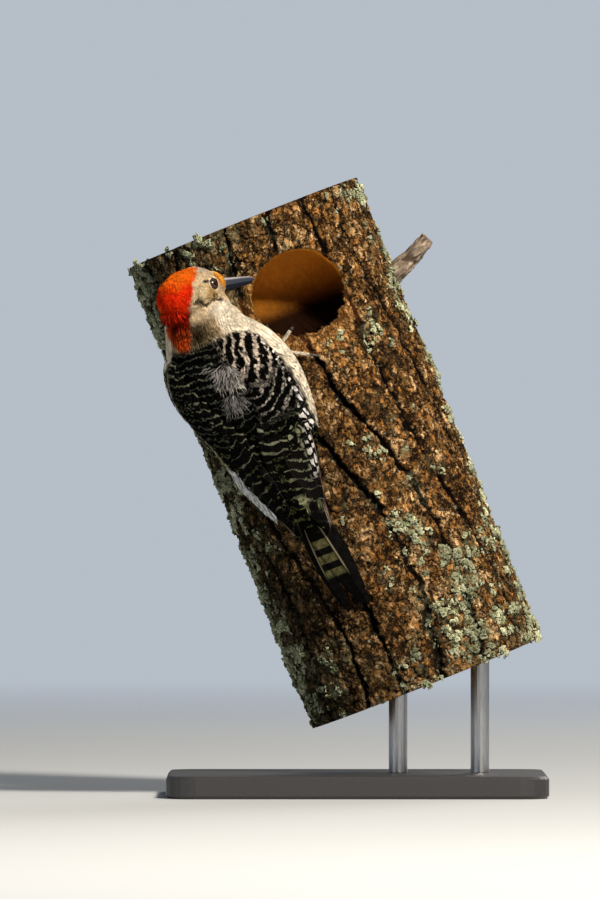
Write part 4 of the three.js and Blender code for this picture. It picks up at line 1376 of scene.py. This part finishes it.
def ragged_mouth(turn):
    """The edge of the hole's mouth, most ragged below: places across and up, at angles round it."""
    round_it = np.stack([np.cos(turn), np.sin(turn)], -1)
    ragged = 0.05 * (noise(round_it * 12, 1.6, 57) - 0.5) + 0.06 * (noise(round_it * 34, 1.6, 58) - 0.5)
    ragged = 1.0 + ragged * (0.35 + 1.2 * smooth(0.2, -0.6, np.sin(turn)))
    return round_it * (HOLE["across"], HOLE["up"]) * ragged[:, None]


def build_trunk():
    """The bark, the bore behind the hole's ragged mouth, and the sawn ends."""
    rows = np.linspace(-TRUNK_LENGTH / 2, TRUNK_LENGTH / 2, TRUNK_ROWS)
    height, bearing = (g.ravel() for g in np.meshgrid(rows, full_turn(TRUNK_AROUND) - math.pi, indexing="ij"))
    deep, level, number = bark_relief(bearing, height)
    surface = on_trunk(height, bearing, TRUNK_RADIUS)
    local = in_hole(surface)
    share = np.hypot(local[:, 0] / HOLE["across"], local[:, 1] / HOLE["up"])
    share = np.where(local[:, 2] < 30, share, 9)
    wood, deep = wear(surface, share, deep)
    points = on_trunk(height, bearing, TRUNK_RADIUS - np.clip(deep, -0.2, 6.5))
    grid = len(points)

    # The rim is the border of the opening left in the grid, pulled onto the hole's edge.
    quads = tube(TRUNK_ROWS, TRUNK_AROUND)
    kept = quads[~(share < 1.0)[quads].any(1)]
    rim = open_rim(kept, share)
    local = in_hole(points[rim])
    turn = np.arctan2(local[:, 1] / HOLE["up"], local[:, 0] / HOLE["across"])
    order = np.argsort(turn)
    rim = rim[order]
    depth = local[order, 2]
    edge = ragged_mouth(turn[order])
    points[rim] = out_of_hole(np.column_stack([edge, depth]))

    faces, bore, previous = [kept], [], rim
    for i, (wide, share_in) in enumerate(BORE):
        ring = np.column_stack([edge * wide, depth + (HOLE["depth"] - depth) * share_in])
        ring[:, :2] *= (1 + 0.035 * (fractal(ring * (1, 1, 0.6), 5.0, 3, 61) - 0.5))[:, None]
        bore.append(out_of_hole(ring))
        index = grid + i * len(rim) + np.arange(len(rim))
        faces.append(bridge(previous, index))
        previous = index
    points = np.concatenate([points, *bore, out_of_hole(np.array([[0, 0, HOLE["depth"]]]))])
    bored = len(points)
    faces.append(cone(previous, bored - 1))

    # Sawn ends, ring by ring to the middle.
    for row, flip in ((0, True), (TRUNK_ROWS - 1, False)):
        outer = row * TRUNK_AROUND + np.arange(TRUNK_AROUND)
        previous = outer
        for shrink in (0.93, 0.75, 0.55, 0.35, 0.15):
            index = len(points) + np.arange(TRUNK_AROUND)
            points = np.concatenate([points, points[outer] * (shrink, shrink, 1)])
            faces.append(bridge(index, previous) if flip else bridge(previous, index))
            previous = index
        cap = cone(previous, len(points))
        faces.append(cap[:, [1, 0, 2]] if flip else cap)
        points = np.concatenate([points, points[outer].mean(0)[None] * (0, 0, 1)])

    beyond = np.ones(len(points) - grid)
    level, number, wood = (
        np.append(values, fill * beyond) for values, fill in ((level, 0.6), (number, 0.5), (wood, 1.0))
    )
    place = np.repeat([0.0, 1.0, -1.0], [grid, bored - grid, len(points) - bored])
    found = {
        "bark": triple(level, number, wood),
        "zone": triple(place, lichen_share(points), side_share(points)),
        "bore": in_hole(points)[:, [1, 2, 0]] / (HOLE["up"], HOLE["depth"], HOLE["across"]),
    }
    dress(make_mesh("trunk_bark", points, faces, TRUNK_FRAME, **found), "bark", "bark", "perch_trunk")
    return points, kept


def side_share(points):
    """1 on the trunk's left, as the viewer sees it, 0 on its right."""
    return smooth(0.3, -0.8, np.arctan2(points[:, 0], -points[:, 1]) / (math.pi / 2))


def bark_material():
    """Bark: furrows darkened as painted shade, flakes each of their own brown, a dark greenish tint and
    painted shade on the left, bare wood round the hole.
    """
    n = Nodes("bark")
    level, number, wood = n.attribute("bark")
    zone, lichen, left_tint_and_shade = n.attribute("zone")
    bore_up, bore_in, bore_across = n.attribute("bore")
    lengthwise = n.place((1, 1, 1.7), (0, -TRUNK_LEAN, 0))
    coarse = n.noise(60, 4)
    grain = n.noise(420, 4, 0.7, lengthwise)
    fine = n.noise(1500, rough=0.7)
    flecks = n.noise(700, 4, 0.75)
    blotches = n.noise(260, 4, 0.7)
    # Plates split into flakes: two jagged nets of cracks, with a shade of its own in every mesh.
    shake = n.noise(480, 4, 0.7, output=1)
    fine_net, wide_net, crumb_net = (
        n.vector("MULTIPLY_ADD", shake, (by, by, by), lengthwise) for by in (0.0045, 0.0075, 0.0030)
    )
    crack = n.cells(360, fine_net, feature="DISTANCE_TO_EDGE")
    split = n.cells(115, wide_net, feature="DISTANCE_TO_EDGE")
    flake = n.cells(360, fine_net, "Color")
    crumb = n.cells(1000, crumb_net, "Color")
    own = flake * 0.45 + number * 0.25 + n.cells(115, wide_net, "Color") * 0.30

    plate = n.ramp(coarse, 0.38, 0.62, (0.14, 0.068, 0.020), (0.26, 0.130, 0.040))
    plate = n.ramp(own, 0.50, 0.74, plate, (0.52, 0.335, 0.165))
    plate = n.ramp(own, 0.46, 0.28, plate, (0.050, 0.029, 0.015))
    plate = n.mix(n.step(n.noise(190), 0.52, 0.62) * 0.55, plate, (0.36, 0.150, 0.034))
    plate = n.uneven(plate, crumb, 0.1, 0.9, 0.62, 1.38)
    # On the trunk's left the bark is darkened as painted shade and given a dark greenish tint.
    plate = n.mix(left_tint_and_shade * 0.85, plate, n.scale(plate, 0.34))
    plate = n.mix(left_tint_and_shade * 0.60, plate, (0.042, 0.040, 0.024))
    plate = n.uneven(plate, grain, 0.36, 0.66, 0.50, 1.45)
    plate = n.ramp(flecks, 0.58, 0.68, plate, n.scale(plate, 2.0))
    # The cracks between flakes are painted near black, as shade in them.
    gaps = n.step(crack, 0.15, 0.03) * n.step(n.noise(300), 0.42, 0.56) | n.step(split, 0.060, 0.015)
    plate = n.mix(gaps, plate, (0.008, 0.005, 0.003))
    # Painted shade: the furrows and low places darken towards black.
    colour = n.ramp(level, 0.30, 0.70, (0.006, 0.004, 0.003), plate)
    crust = lichen * n.step(n.noise(320, 4, 0.75), 0.46, 0.58)
    colour = n.mix(crust * 0.55, colour, (0.21, 0.22, 0.13))
    dots = n.mix(flake, (0.20, 0.22, 0.13), (0.50, 0.52, 0.40))
    colour = n.mix(n.step(blotches, 0.645, 0.675) * 0.8, colour, dots)

    bare_wood = n.ramp(blotches, 0.36, 0.62, (0.22, 0.090, 0.022), (0.56, 0.31, 0.11))
    bare_wood = n.uneven(bare_wood, grain, 0.3, 0.7, 0.45, 1.2)
    # Painted shade in the bare wood's cracks and hollows.
    bare_wood = n.ramp(crack, 0.12, 0.02, bare_wood, (0.06, 0.022, 0.006))
    bare_wood = n.ramp(level, 0.62, 0.30, bare_wood, (0.06, 0.022, 0.007))
    colour = n.mix(wood, colour, bare_wood)
    # Inside, the wood darkens as painted shade from the roof of the bore to its floor, and towards its left
    # side.
    bore = n.ramp(bore_up, -0.45, 0.70, (0.009, 0.003, 0.001), (1.0, 0.36, 0.036))
    bore = n.uneven(bore, grain, 0.3, 0.7, 0.82, 1.08)
    bore = n.uneven(bore, bore_across, -1.0, -0.1, 0.5, 1.1)
    colour = n.mix(n.step(zone, 0.4, 0.6) * n.step(bore_in, 0.02, 0.16), colour, bore)
    # The sawn ends have rings round the trunk's axis.
    centre = tuple(c * MM for c in TRUNK_CENTRE)
    inputs = {"Vector": n.here, "Center": centre, "Axis": (0, 1, 0), "Angle": TRUNK_LEAN}
    upright = n.vector("SUBTRACT", n.node("ShaderNodeVectorRotate", inputs), centre)
    radius = n.vector("LENGTH", n.vector("MULTIPLY", upright, (1, 1, 0)), output=1)
    ripple = n.math("SINE", (radius + coarse * 0.004) * 2600)
    sawn = n.ramp(ripple, -0.2, 0.9, (0.46, 0.31, 0.17), (0.33, 0.19, 0.095))
    colour = n.ramp(zone, -0.4, -0.6, colour, sawn)

    on_bark = n.step(zone, 0.6, 0.4) * (gaps * -2.4 + crumb * 1.1)
    height = grain * 2.0 + (fine + (flecks + coarse)) + on_bark
    return n.finish(colour, 0.9, height, 0.0009, 0.9, Specular_IOR_Level=0.03)


# ------------------------------------------------------------------ lichen

LICHEN_TUFTS = 1500
LOBES_EACH = 6
LOBE_RIM = 7  # points round a lobe's rim
LOBE_LIFT = 0.55


def lichen_share(points):
    """How thickly lichen grows at points of the trunk."""
    bearing = np.degrees(np.arctan2(points[:, 0], -points[:, 1]))
    height = points[:, 2]
    patches = 0.5 * fractal(points, 26, 3, 81) + 0.5 * fractal(points, 7, 2, 83)
    favour = 0.24 * hump(bearing, -78, 42) + 0.16 * hump(height, 130, 50) * hump(bearing, -20, 70)
    favour = favour + 0.26 * smooth(-30, -90, height) * hump(bearing, 42, 52) + 0.16 * hump(bearing, 88, 30)
    favour = favour + 0.16 * smooth(120, 170, np.abs(bearing))
    return np.clip((patches - 0.56 + favour) * 5, 0, 1)


def lobe_faces(rings, tip):
    """Triangles of a closed lobe: from its hub over the rings to the tip under it."""
    hub = cone(rings[0], 0)[:, [2, 0, 1]]
    bands = [hub]
    for a, b in zip(rings, rings[1:]):
        quads = bridge(a, b)
        bands += [quads[:, [0, 3, 2]], quads[:, [0, 2, 1]]]
    return np.concatenate([*bands, cone(rings[-1], tip)[:, [0, 2, 1]]])


def build_lichen(points, quads):
    """Leafy lichen: many small curled lobes with raised, ragged rims, in tufts on the bark."""
    random = np.random.default_rng(91)
    a, b, c, d = (points[quads[:, i]] for i in range(4))
    middle = (a + b + c + d) / 4
    chance = lichen_share(middle) ** 1.6
    pick = np.repeat(random.choice(len(quads), LICHEN_TUFTS, p=chance / chance.sum()), LOBES_EACH)
    lobes = len(pick)
    normals = unit(np.cross(c - a, d - b))
    out = unit(normals[pick] * 0.35 + unit(middle[pick] * (1, 1, 0)))
    aside = random.normal(0, 1, (lobes, 3))
    aside = aside - out * np.sum(aside * out, 1, keepdims=True)
    centre = middle[pick] + aside
    size = random.uniform(0.45, 1.5, lobes) * (0.75 + 0.5 * chance[pick])
    tilt = unit(out + aside * 0.35 + random.normal(0, 0.25, (lobes, 3)))
    side = unit(np.cross(tilt, random.normal(0, 1, (lobes, 3))))
    other = np.cross(tilt, side)
    turn = full_turn(LOBE_RIM)
    reach = size[:, None] * random.uniform(0.45, 1.45, (lobes, LOBE_RIM))
    curl = size[:, None] * random.uniform(0.1, 0.8, (lobes, LOBE_RIM))

    def ring(scale, height):
        flat = side[:, None] * np.cos(turn)[None, :, None] + other[:, None] * np.sin(turn)[None, :, None]
        return centre[:, None] + flat * (reach * scale)[..., None] + tilt[:, None] * height[..., None]

    hub, foot = ((centre + tilt * rise)[:, None] for rise in (LOBE_LIFT, -0.4))
    inner = ring(0.55, curl * 0.25 + LOBE_LIFT)
    top = ring(1.0, curl + LOBE_LIFT)
    under = ring(0.8, curl * 0.6 + LOBE_LIFT - 0.35)
    each = np.concatenate([hub, inner, top, under, foot], 1)
    per = each.shape[1]
    rings = 1 + np.arange(3 * LOBE_RIM).reshape(3, LOBE_RIM)
    rim_share = np.repeat([0, 0.5, 1, 0.8, 0], [1, LOBE_RIM, LOBE_RIM, LOBE_RIM, 1])
    wide = np.repeat([0, 0.27, 0.5, 0.4, 0], [1, LOBE_RIM, LOBE_RIM, LOBE_RIM, 1])
    angle = np.concatenate([[0], turn, turn, turn, [0]])
    shape = np.stack([np.cos(angle), np.sin(angle)], -1) * wide[:, None]
    tint = random.random(lobes)
    bearing = np.arctan2(centre[:, 0], -centre[:, 1]) / (2 * math.pi) + 0.5
    root = np.stack([0.01 + 0.98 * bearing, 0.01 + 0.98 * (centre[:, 2] / TRUNK_LENGTH + 0.5)], -1)
    for number in range(2):
        chosen = np.arange(lobes) % 2 == number
        count = chosen.sum()
        lobe = triple(np.repeat(tint[chosen], per), np.tile(rim_share, count), 0.0)
        uv = np.repeat(root[chosen], per, 0) + PATCH * np.tile(shape, (count, 1))
        faces = copies(lobe_faces(rings, per - 1), per, count)
        places = each[chosen].reshape(-1, 3)
        piece = make_mesh(f"trunk_lichen_{number + 1}", places, faces, TRUNK_FRAME, uv, lobe=lobe)
        dress(piece, "lichen", "bark")


def lichen_material():
    """Pale grey-green lichen, whiter along its rims, dull where it is old."""
    n = Nodes("lichen")
    tint, rim, _ = n.attribute("lobe")
    fine = n.noise(900, rough=0.7)
    green = n.mix(tint, (0.15, 0.165, 0.080), (0.57, 0.59, 0.40))
    green = n.ramp(n.noise(45), 0.4, 0.65, n.scale(green, 0.55), green)
    colour = n.ramp(rim, 0.3, 1.0, n.scale(green, 0.55), n.scale(green, 1.12))
    colour = n.uneven(colour, fine, 0.3, 0.7, 0.7, 1.15)
    return n.finish(colour, 0.9, fine, 0.0004, 0.6, Specular_IOR_Level=0.15)


# ------------------------------------------------------------------ simple materials


def grained(name, size, scale, detail, colours, roughness, bump, **fixed):
    """A material of two shades that follow a grain, which also makes its bumps."""
    n = Nodes(name)
    grain = n.noise(scale, detail, at=n.place(size))
    return n.finish(n.ramp(grain, 0.3, 0.7, *colours), roughness, grain, *bump, **fixed)


def scaled_material():
    """A leg's scales."""
    n = Nodes("leg_scales")
    scutes = n.cells(1100)
    colour = n.ramp(scutes, 0.2, 0.6, (0.60, 0.52, 0.40), (0.22, 0.185, 0.135))
    return n.finish(colour, 0.55, n.math("SUBTRACT", 1.0, scutes), 0.0004, 0.8, Specular_IOR_Level=0.4)


def eye_material():
    """A dark pupil in a red-brown iris, darker round its rim."""
    n = Nodes("eye")
    from_axis = n.attribute("iris")[0]
    iris = n.ramp(n.noise(2600), 0.3, 0.7, (0.026, 0.0045, 0.0030), (0.060, 0.011, 0.0065))
    colour = n.ramp(from_axis, 0.36, 0.40, (0.0015, 0.0015, 0.0015), iris)
    colour = n.ramp(from_axis, 0.60, 0.74, colour, (0.006, 0.004, 0.0035))
    return n.finish(colour, 0.26, Specular_IOR_Level=0.4)


def wood_material():
    """Weathered grey wood, with painted shade in its hollows."""
    n = Nodes("dead_wood")
    level = n.attribute("bark")[0]
    grain = n.noise(900, 4, 0.7, n.place((3.3, 1, 1), (0, -0.8, 0)))
    broad = n.noise(150, at=n.place((2, 1, 1), (0, -0.8, 0)))
    pale = n.ramp(grain, 0.35, 0.65, (0.145, 0.105, 0.075), (0.38, 0.305, 0.235))
    pale = n.ramp(broad, 0.40, 0.62, n.scale(pale, 0.45), pale)
    # Painted shade: darker where the wood lies low.
    colour = n.ramp(level, 0.08, 0.40, (0.05, 0.035, 0.024), pale)
    return n.finish(colour, 0.85, grain, 0.0008, 0.8, Specular_IOR_Level=0.15)


def bill_material(name, side_colour, ridge_highlight, shine):
    """Slate horn, paler along its ridge as a painted highlight."""
    n = Nodes(name)
    ridge = n.attribute("ridge")[0]
    grain = n.noise(600, 4)
    # A painted highlight along the ridge.
    colour = n.ramp(ridge + (grain - 0.5) * 0.9, 0.3, 1.0, side_colour, ridge_highlight)
    return n.finish(colour, 0.38, grain, 0.0002, 0.4, Specular_IOR_Level=shine)


# ------------------------------------------------------------------ small parts


def eye_axes(side):
    """The middle of an eye in the head's frame, its axis outwards, and two ways across it."""
    axis = unit(np.array(EYE["axis"]) * (side, 1, 1))
    first = unit(np.cross(axis, (0, 0, 1)))
    return np.array(EYE["place"]) * (side, 1, 1), axis, first, np.cross(axis, first)


def build_eyes():
    """Glossy eyeballs; each point knows its angle from the eye's axis."""
    rings, around = 26, 40
    polar = np.linspace(0, math.pi, rings + 2)[1:-1]
    p, t = (g.ravel() for g in np.meshgrid(polar, full_turn(around), indexing="ij"))
    p, t = p[:, None], t[:, None]
    first_ring = np.arange(around)
    last_ring = (rings - 1) * around + first_ring
    front, back = len(p), len(p) + 1
    faces = [
        tube(rings, around)[:, ::-1],
        cone(first_ring, front)[:, [2, 0, 1]],
        cone(last_ring, back)[:, [2, 1, 0]],
    ]
    for name, side in (("right", 1), ("left", -1)):
        centre, axis, first, second = eye_axes(side)
        ways = np.cos(p) * axis + np.sin(p) * (np.cos(t) * first + np.sin(t) * second)
        ways = np.concatenate([ways, [axis], [-axis]])
        iris = triple(np.arccos(np.clip(ways @ axis, -1, 1)), 0.0, 0.0)
        eye = make_mesh(f"eyeball_{name}", centre + ways * EYE["radius"], faces, HEAD_FRAME, iris=iris)
        dress(eye, "eye", "eye", f"eye_{name}")


def build_lids():
    """A rim of bare skin round each eye's opening, which is taller than it is wide."""
    turn = full_turn(48)
    opening = 1 / np.sqrt((np.cos(turn) / 2.6) ** 2 + (np.sin(turn) / 2.05) ** 2)
    # Rings from the inner edge outwards: how much wider than the opening, how far from the eye's centre.
    section = (
        (0.0, 3.38), (0.03, 3.62), (0.35, 3.80), (0.80, 3.86),
        (1.25, 3.70), (1.6, 3.30), (1.3, 3.0), (0.5, 3.1),
    )
    first_ring = np.arange(len(turn))
    seam = bridge((len(section) - 1) * len(turn) + first_ring, first_ring)
    faces = [tube(len(section), len(turn))[:, ::-1], seam[:, ::-1]]
    for name, side in (("right", 1), ("left", -1)):
        centre, axis, first, second = eye_axes(side)
        aside = np.cos(turn)[:, None] * first + np.sin(turn)[:, None] * second
        rings = []
        for extra, reach in section:
            polar = np.arcsin(np.clip((opening + extra) / reach, 0, 0.98))[:, None]
            rings.append(centre + reach * (np.cos(polar) * axis + np.sin(polar) * aside))
        dress(make_mesh(f"eyelid_{name}", np.concatenate(rings), faces, HEAD_FRAME), "lid", "leg")


def build_bill():
    """Both mandibles: a ridged chisel with straight edges and a blunt tip."""
    steps, sides = 40, 33
    s, a = np.meshgrid(np.linspace(0, 1, steps), np.linspace(0, math.pi, sides), indexing="ij")
    blunt = np.sqrt(np.clip(1 - s**18, 0, 1))
    keel = 1 + 0.10 * np.exp(-(((a - math.pi / 2) / 0.16) ** 2))
    groove = 1 - 0.05 * np.exp(-(((np.abs(a - math.pi / 2) - 0.62) / 0.10) ** 2)) * (1 - s) ** 0.5
    ridge = triple(np.sin(a).ravel() ** 3, s.ravel(), 0.0)
    ring = np.arange(sides)
    for name, way, length, width, height, slim in (
        ("upper", 1, 27, 3.9, 3.9, 0.55),
        ("lower", -1, 25.4, 3.6, 4.1, 0.74),
    ):
        wide = width * (1 - 0.76 * s) * blunt + BILL["edge"]
        high = height * (1 - slim * s) * blunt + BILL["edge"] * 0.8
        seam = BILL["gape"] - 1.3 * (1 - s) + way * 0.02 - BILL["droop"] * s**2
        rise = np.sin(a) ** 0.8 * high * keel * groove / 1.10
        points = triple(np.cos(a) * wide * groove, BILL["root"] + s * length, seam + way * rise)
        tip = fan((steps - 1) * sides + ring)
        faces = [tube(steps, sides)[:, ::-way], fan(ring)[:, ::way], tip[:, ::-way]]
        bill = make_mesh(f"bill_{name}_horn", points.reshape(-1, 3), faces, HEAD_FRAME, ridge=ridge)
        dress(bill, f"bill_{name}", "bill", f"bill_{name}")


def build_stub():
    """The broken branch stub: gnarled weathered wood over its solid."""
    points, quads, normals = remeshed(*node_mesh("perch_branch_stub", grow=0.1), 0.5, 4)
    drawn = moved(points, BIRD_FRAME) * (0.35, 1, 1)
    gnarls = fractal(drawn, 6.0, 3, 71) - 0.5
    grain = fractal(drawn * (0.5, 1, 1), 1.4, 2, 73) - 0.5
    rise = 3.2 * gnarls + 1.0 * grain - 0.5
    level = np.clip(0.5 + 1.6 * gnarls + 0.8 * grain, 0, 1)
    bark = triple(level, level, 0.0)
    stub = make_mesh("branch_stub", points + normals * rise[:, None], quads, BIRD_FRAME, bark=bark)
    dress(stub, "wood", "dead_wood", "perch_branch_stub")


def refined(name, material, node, voxel, rounds):
    """A rounder piece in a solid's place, from the solid's own shape."""
    points, quads, _ = remeshed(*node_mesh(node, grow=0.04), voxel, rounds)
    dress(make_mesh(name, points, quads, BIRD_FRAME), material, material, node)


def build_small_parts():
    """Feet, claws, and the stand's own solids in their materials."""
    for side in ("right", "left"):
        refined(f"scaly_foot_{side}", "leg", f"foot_{side}", 0.3, 3)
        for digit in ("hallux", "inner_toe", "middle_toe", "outer_toe"):
            refined(f"horn_claw_{side}_{digit}", "claw", f"claw_{side}_{digit}", 0.16, 2)
    for node, material in (("stand_base", "base"), ("stand_rod_1", "steel"), ("stand_rod_2", "steel")):
        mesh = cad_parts[node].data
        mesh.materials.clear()
        mesh.materials.append(MATERIALS[material])


# ------------------------------------------------------------------ studio

VIEW_CENTRE = Vector((-0.0307, -0.085, 0.1858))
VIEW_HEIGHT = 0.47647
VIEW_DISTANCE = 6.0
SENSOR = 36
LAMP_AIM = Vector((-0.02, -0.03, 0.2))
LAMPS = (
    # name, place, size, power, colour
    ("key", (0.95, -1.9, 1.85), 0.4, 165, (1.0, 0.90, 0.76)),
    ("fill", (-1.9, -1.4, 0.9), 1.6, 7, (0.80, 0.90, 1.0)),
    ("rim", (0.9, 1.9, 1.5), 1.2, 26, (1.0, 0.95, 0.88)),
)


def build_camera(scene):
    camera = bpy.data.objects.new("camera", bpy.data.cameras.new("camera"))
    camera.data.sensor_width = SENSOR
    camera.data.lens = SENSOR * VIEW_DISTANCE / VIEW_HEIGHT
    camera.data.clip_end = 100
    camera.location = VIEW_CENTRE - Vector((0, VIEW_DISTANCE, 0))
    camera.rotation_euler = (math.pi / 2, 0, 0)
    scene.collection.objects.link(camera)
    scene.camera = camera


def build_backdrop(scene):
    """A pale blue world, brighter to the camera than as a light."""
    world = bpy.data.worlds.new("studio")
    world.use_nodes = True
    nodes, links = world.node_tree.nodes, world.node_tree.links
    backdrop = nodes["Background"]
    backdrop.inputs[0].default_value = (0.60, 0.66, 0.74, 1)
    strength = nodes.new("ShaderNodeMath")
    strength.operation = "MULTIPLY_ADD"
    strength.inputs[1].default_value = 0.58
    strength.inputs[2].default_value = 0.20
    links.new(nodes.new("ShaderNodeLightPath").outputs["Is Camera Ray"], strength.inputs[0])
    links.new(strength.outputs[0], backdrop.inputs[1])
    scene.world = world


def build_floor():
    """A round floor that fades out towards its edge."""
    rings, around = 24, 96
    radius, turn = np.meshgrid(np.linspace(0.05, 4.0, rings) * 1000, full_turn(around), indexing="ij")
    points = triple(radius * np.cos(turn), radius * np.sin(turn), 0.0).reshape(-1, 3)
    faces = [tube(rings, around), cone(np.arange(around), len(points))[:, [2, 0, 1]]]
    floor = make_mesh("floor", np.concatenate([points, [[0, 0, 0]]]), faces, Matrix.Identity(4))
    n = Nodes("floor")
    n.finish((0.40, 0.42, 0.44), 0.8, Specular_IOR_Level=0.2)
    spread = n.vector("LENGTH", n.here, output=1)
    clear = n.node("ShaderNodeBsdfTransparent")
    inputs = {0: n.step(spread, 0.7, 3.2), 1: Socket(n, n.shader.outputs[0]), 2: clear}
    n.feed(n.tree.nodes["Material Output"].inputs[0], n.node("ShaderNodeMixShader", inputs))
    floor.data.materials.append(n.material)


def build_studio():
    scene = bpy.context.scene
    scene.view_settings.view_transform = "Standard"
    build_camera(scene)
    build_backdrop(scene)
    build_floor()
    for name, place, size, power, colour in LAMPS:
        light = bpy.data.lights.new(name, "AREA")
        light.size = size
        light.energy = power
        light.color = colour
        lamp = bpy.data.objects.new(name, light)
        lamp.location = place
        lamp.rotation_euler = (LAMP_AIM - Vector(place)).to_track_quat("-Z", "Y").to_euler()
        scene.collection.objects.link(lamp)


# ------------------------------------------------------------------ assembly

CLAW_HORN = ((0.02, 0.018, 0.016), (0.05, 0.045, 0.04))
BARE_SKIN = ((0.005, 0.004, 0.0035), (0.018, 0.013, 0.010))
PAINT = ((0.018, 0.018, 0.020), (0.028, 0.028, 0.030))
STEEL = ((0.42, 0.43, 0.45), (0.60, 0.61, 0.63))
MATERIALS = {
    "plumage": plumage_material(),
    "wing": wing_material(),
    "tail": tail_material(),
    "bark": bark_material(),
    "lichen": lichen_material(),
    "bill_upper": bill_material("bill_upper", (0.020, 0.023, 0.034), (0.27, 0.26, 0.29), 0.3),
    "bill_lower": bill_material("bill_lower", (0.004, 0.006, 0.012), (0.012, 0.017, 0.030), 0.1),
    "claw": grained("claw", (1, 1, 1), 700, 4, CLAW_HORN, 0.3, (0.0002, 0.4), Specular_IOR_Level=0.5),
    "leg": scaled_material(),
    "eye": eye_material(),
    "lid": grained("eyelid", (1, 1, 0.4), 1500, 3, BARE_SKIN, 0.6, (0.0003, 0.8), Specular_IOR_Level=0.15),
    "wood": wood_material(),
    "base": grained("stand_black", (1, 1, 1), 1400, 3, PAINT, 0.42, (0.00008, 0.4), Specular_IOR_Level=0.5),
    "steel": grained("stand_steel", (1, 1, 25), 3000, 3, STEEL, 0.28, (0.00005, 0.3), Metallic=1.0),
}

build_studio()
skin = build_skin()
envelope = node_mesh("neck", "body", "wing_right", "wing_left", grow=0.25)
bed, bed_faces, outward = remeshed(*envelope, 1.0, 12)
build_coat(skin, Surface(bed - outward * 1.1, bed_faces))
build_wings()
build_tail()
build_eyes()
build_lids()
build_bill()
build_small_parts()
build_stub()
build_lichen(*build_trunk())
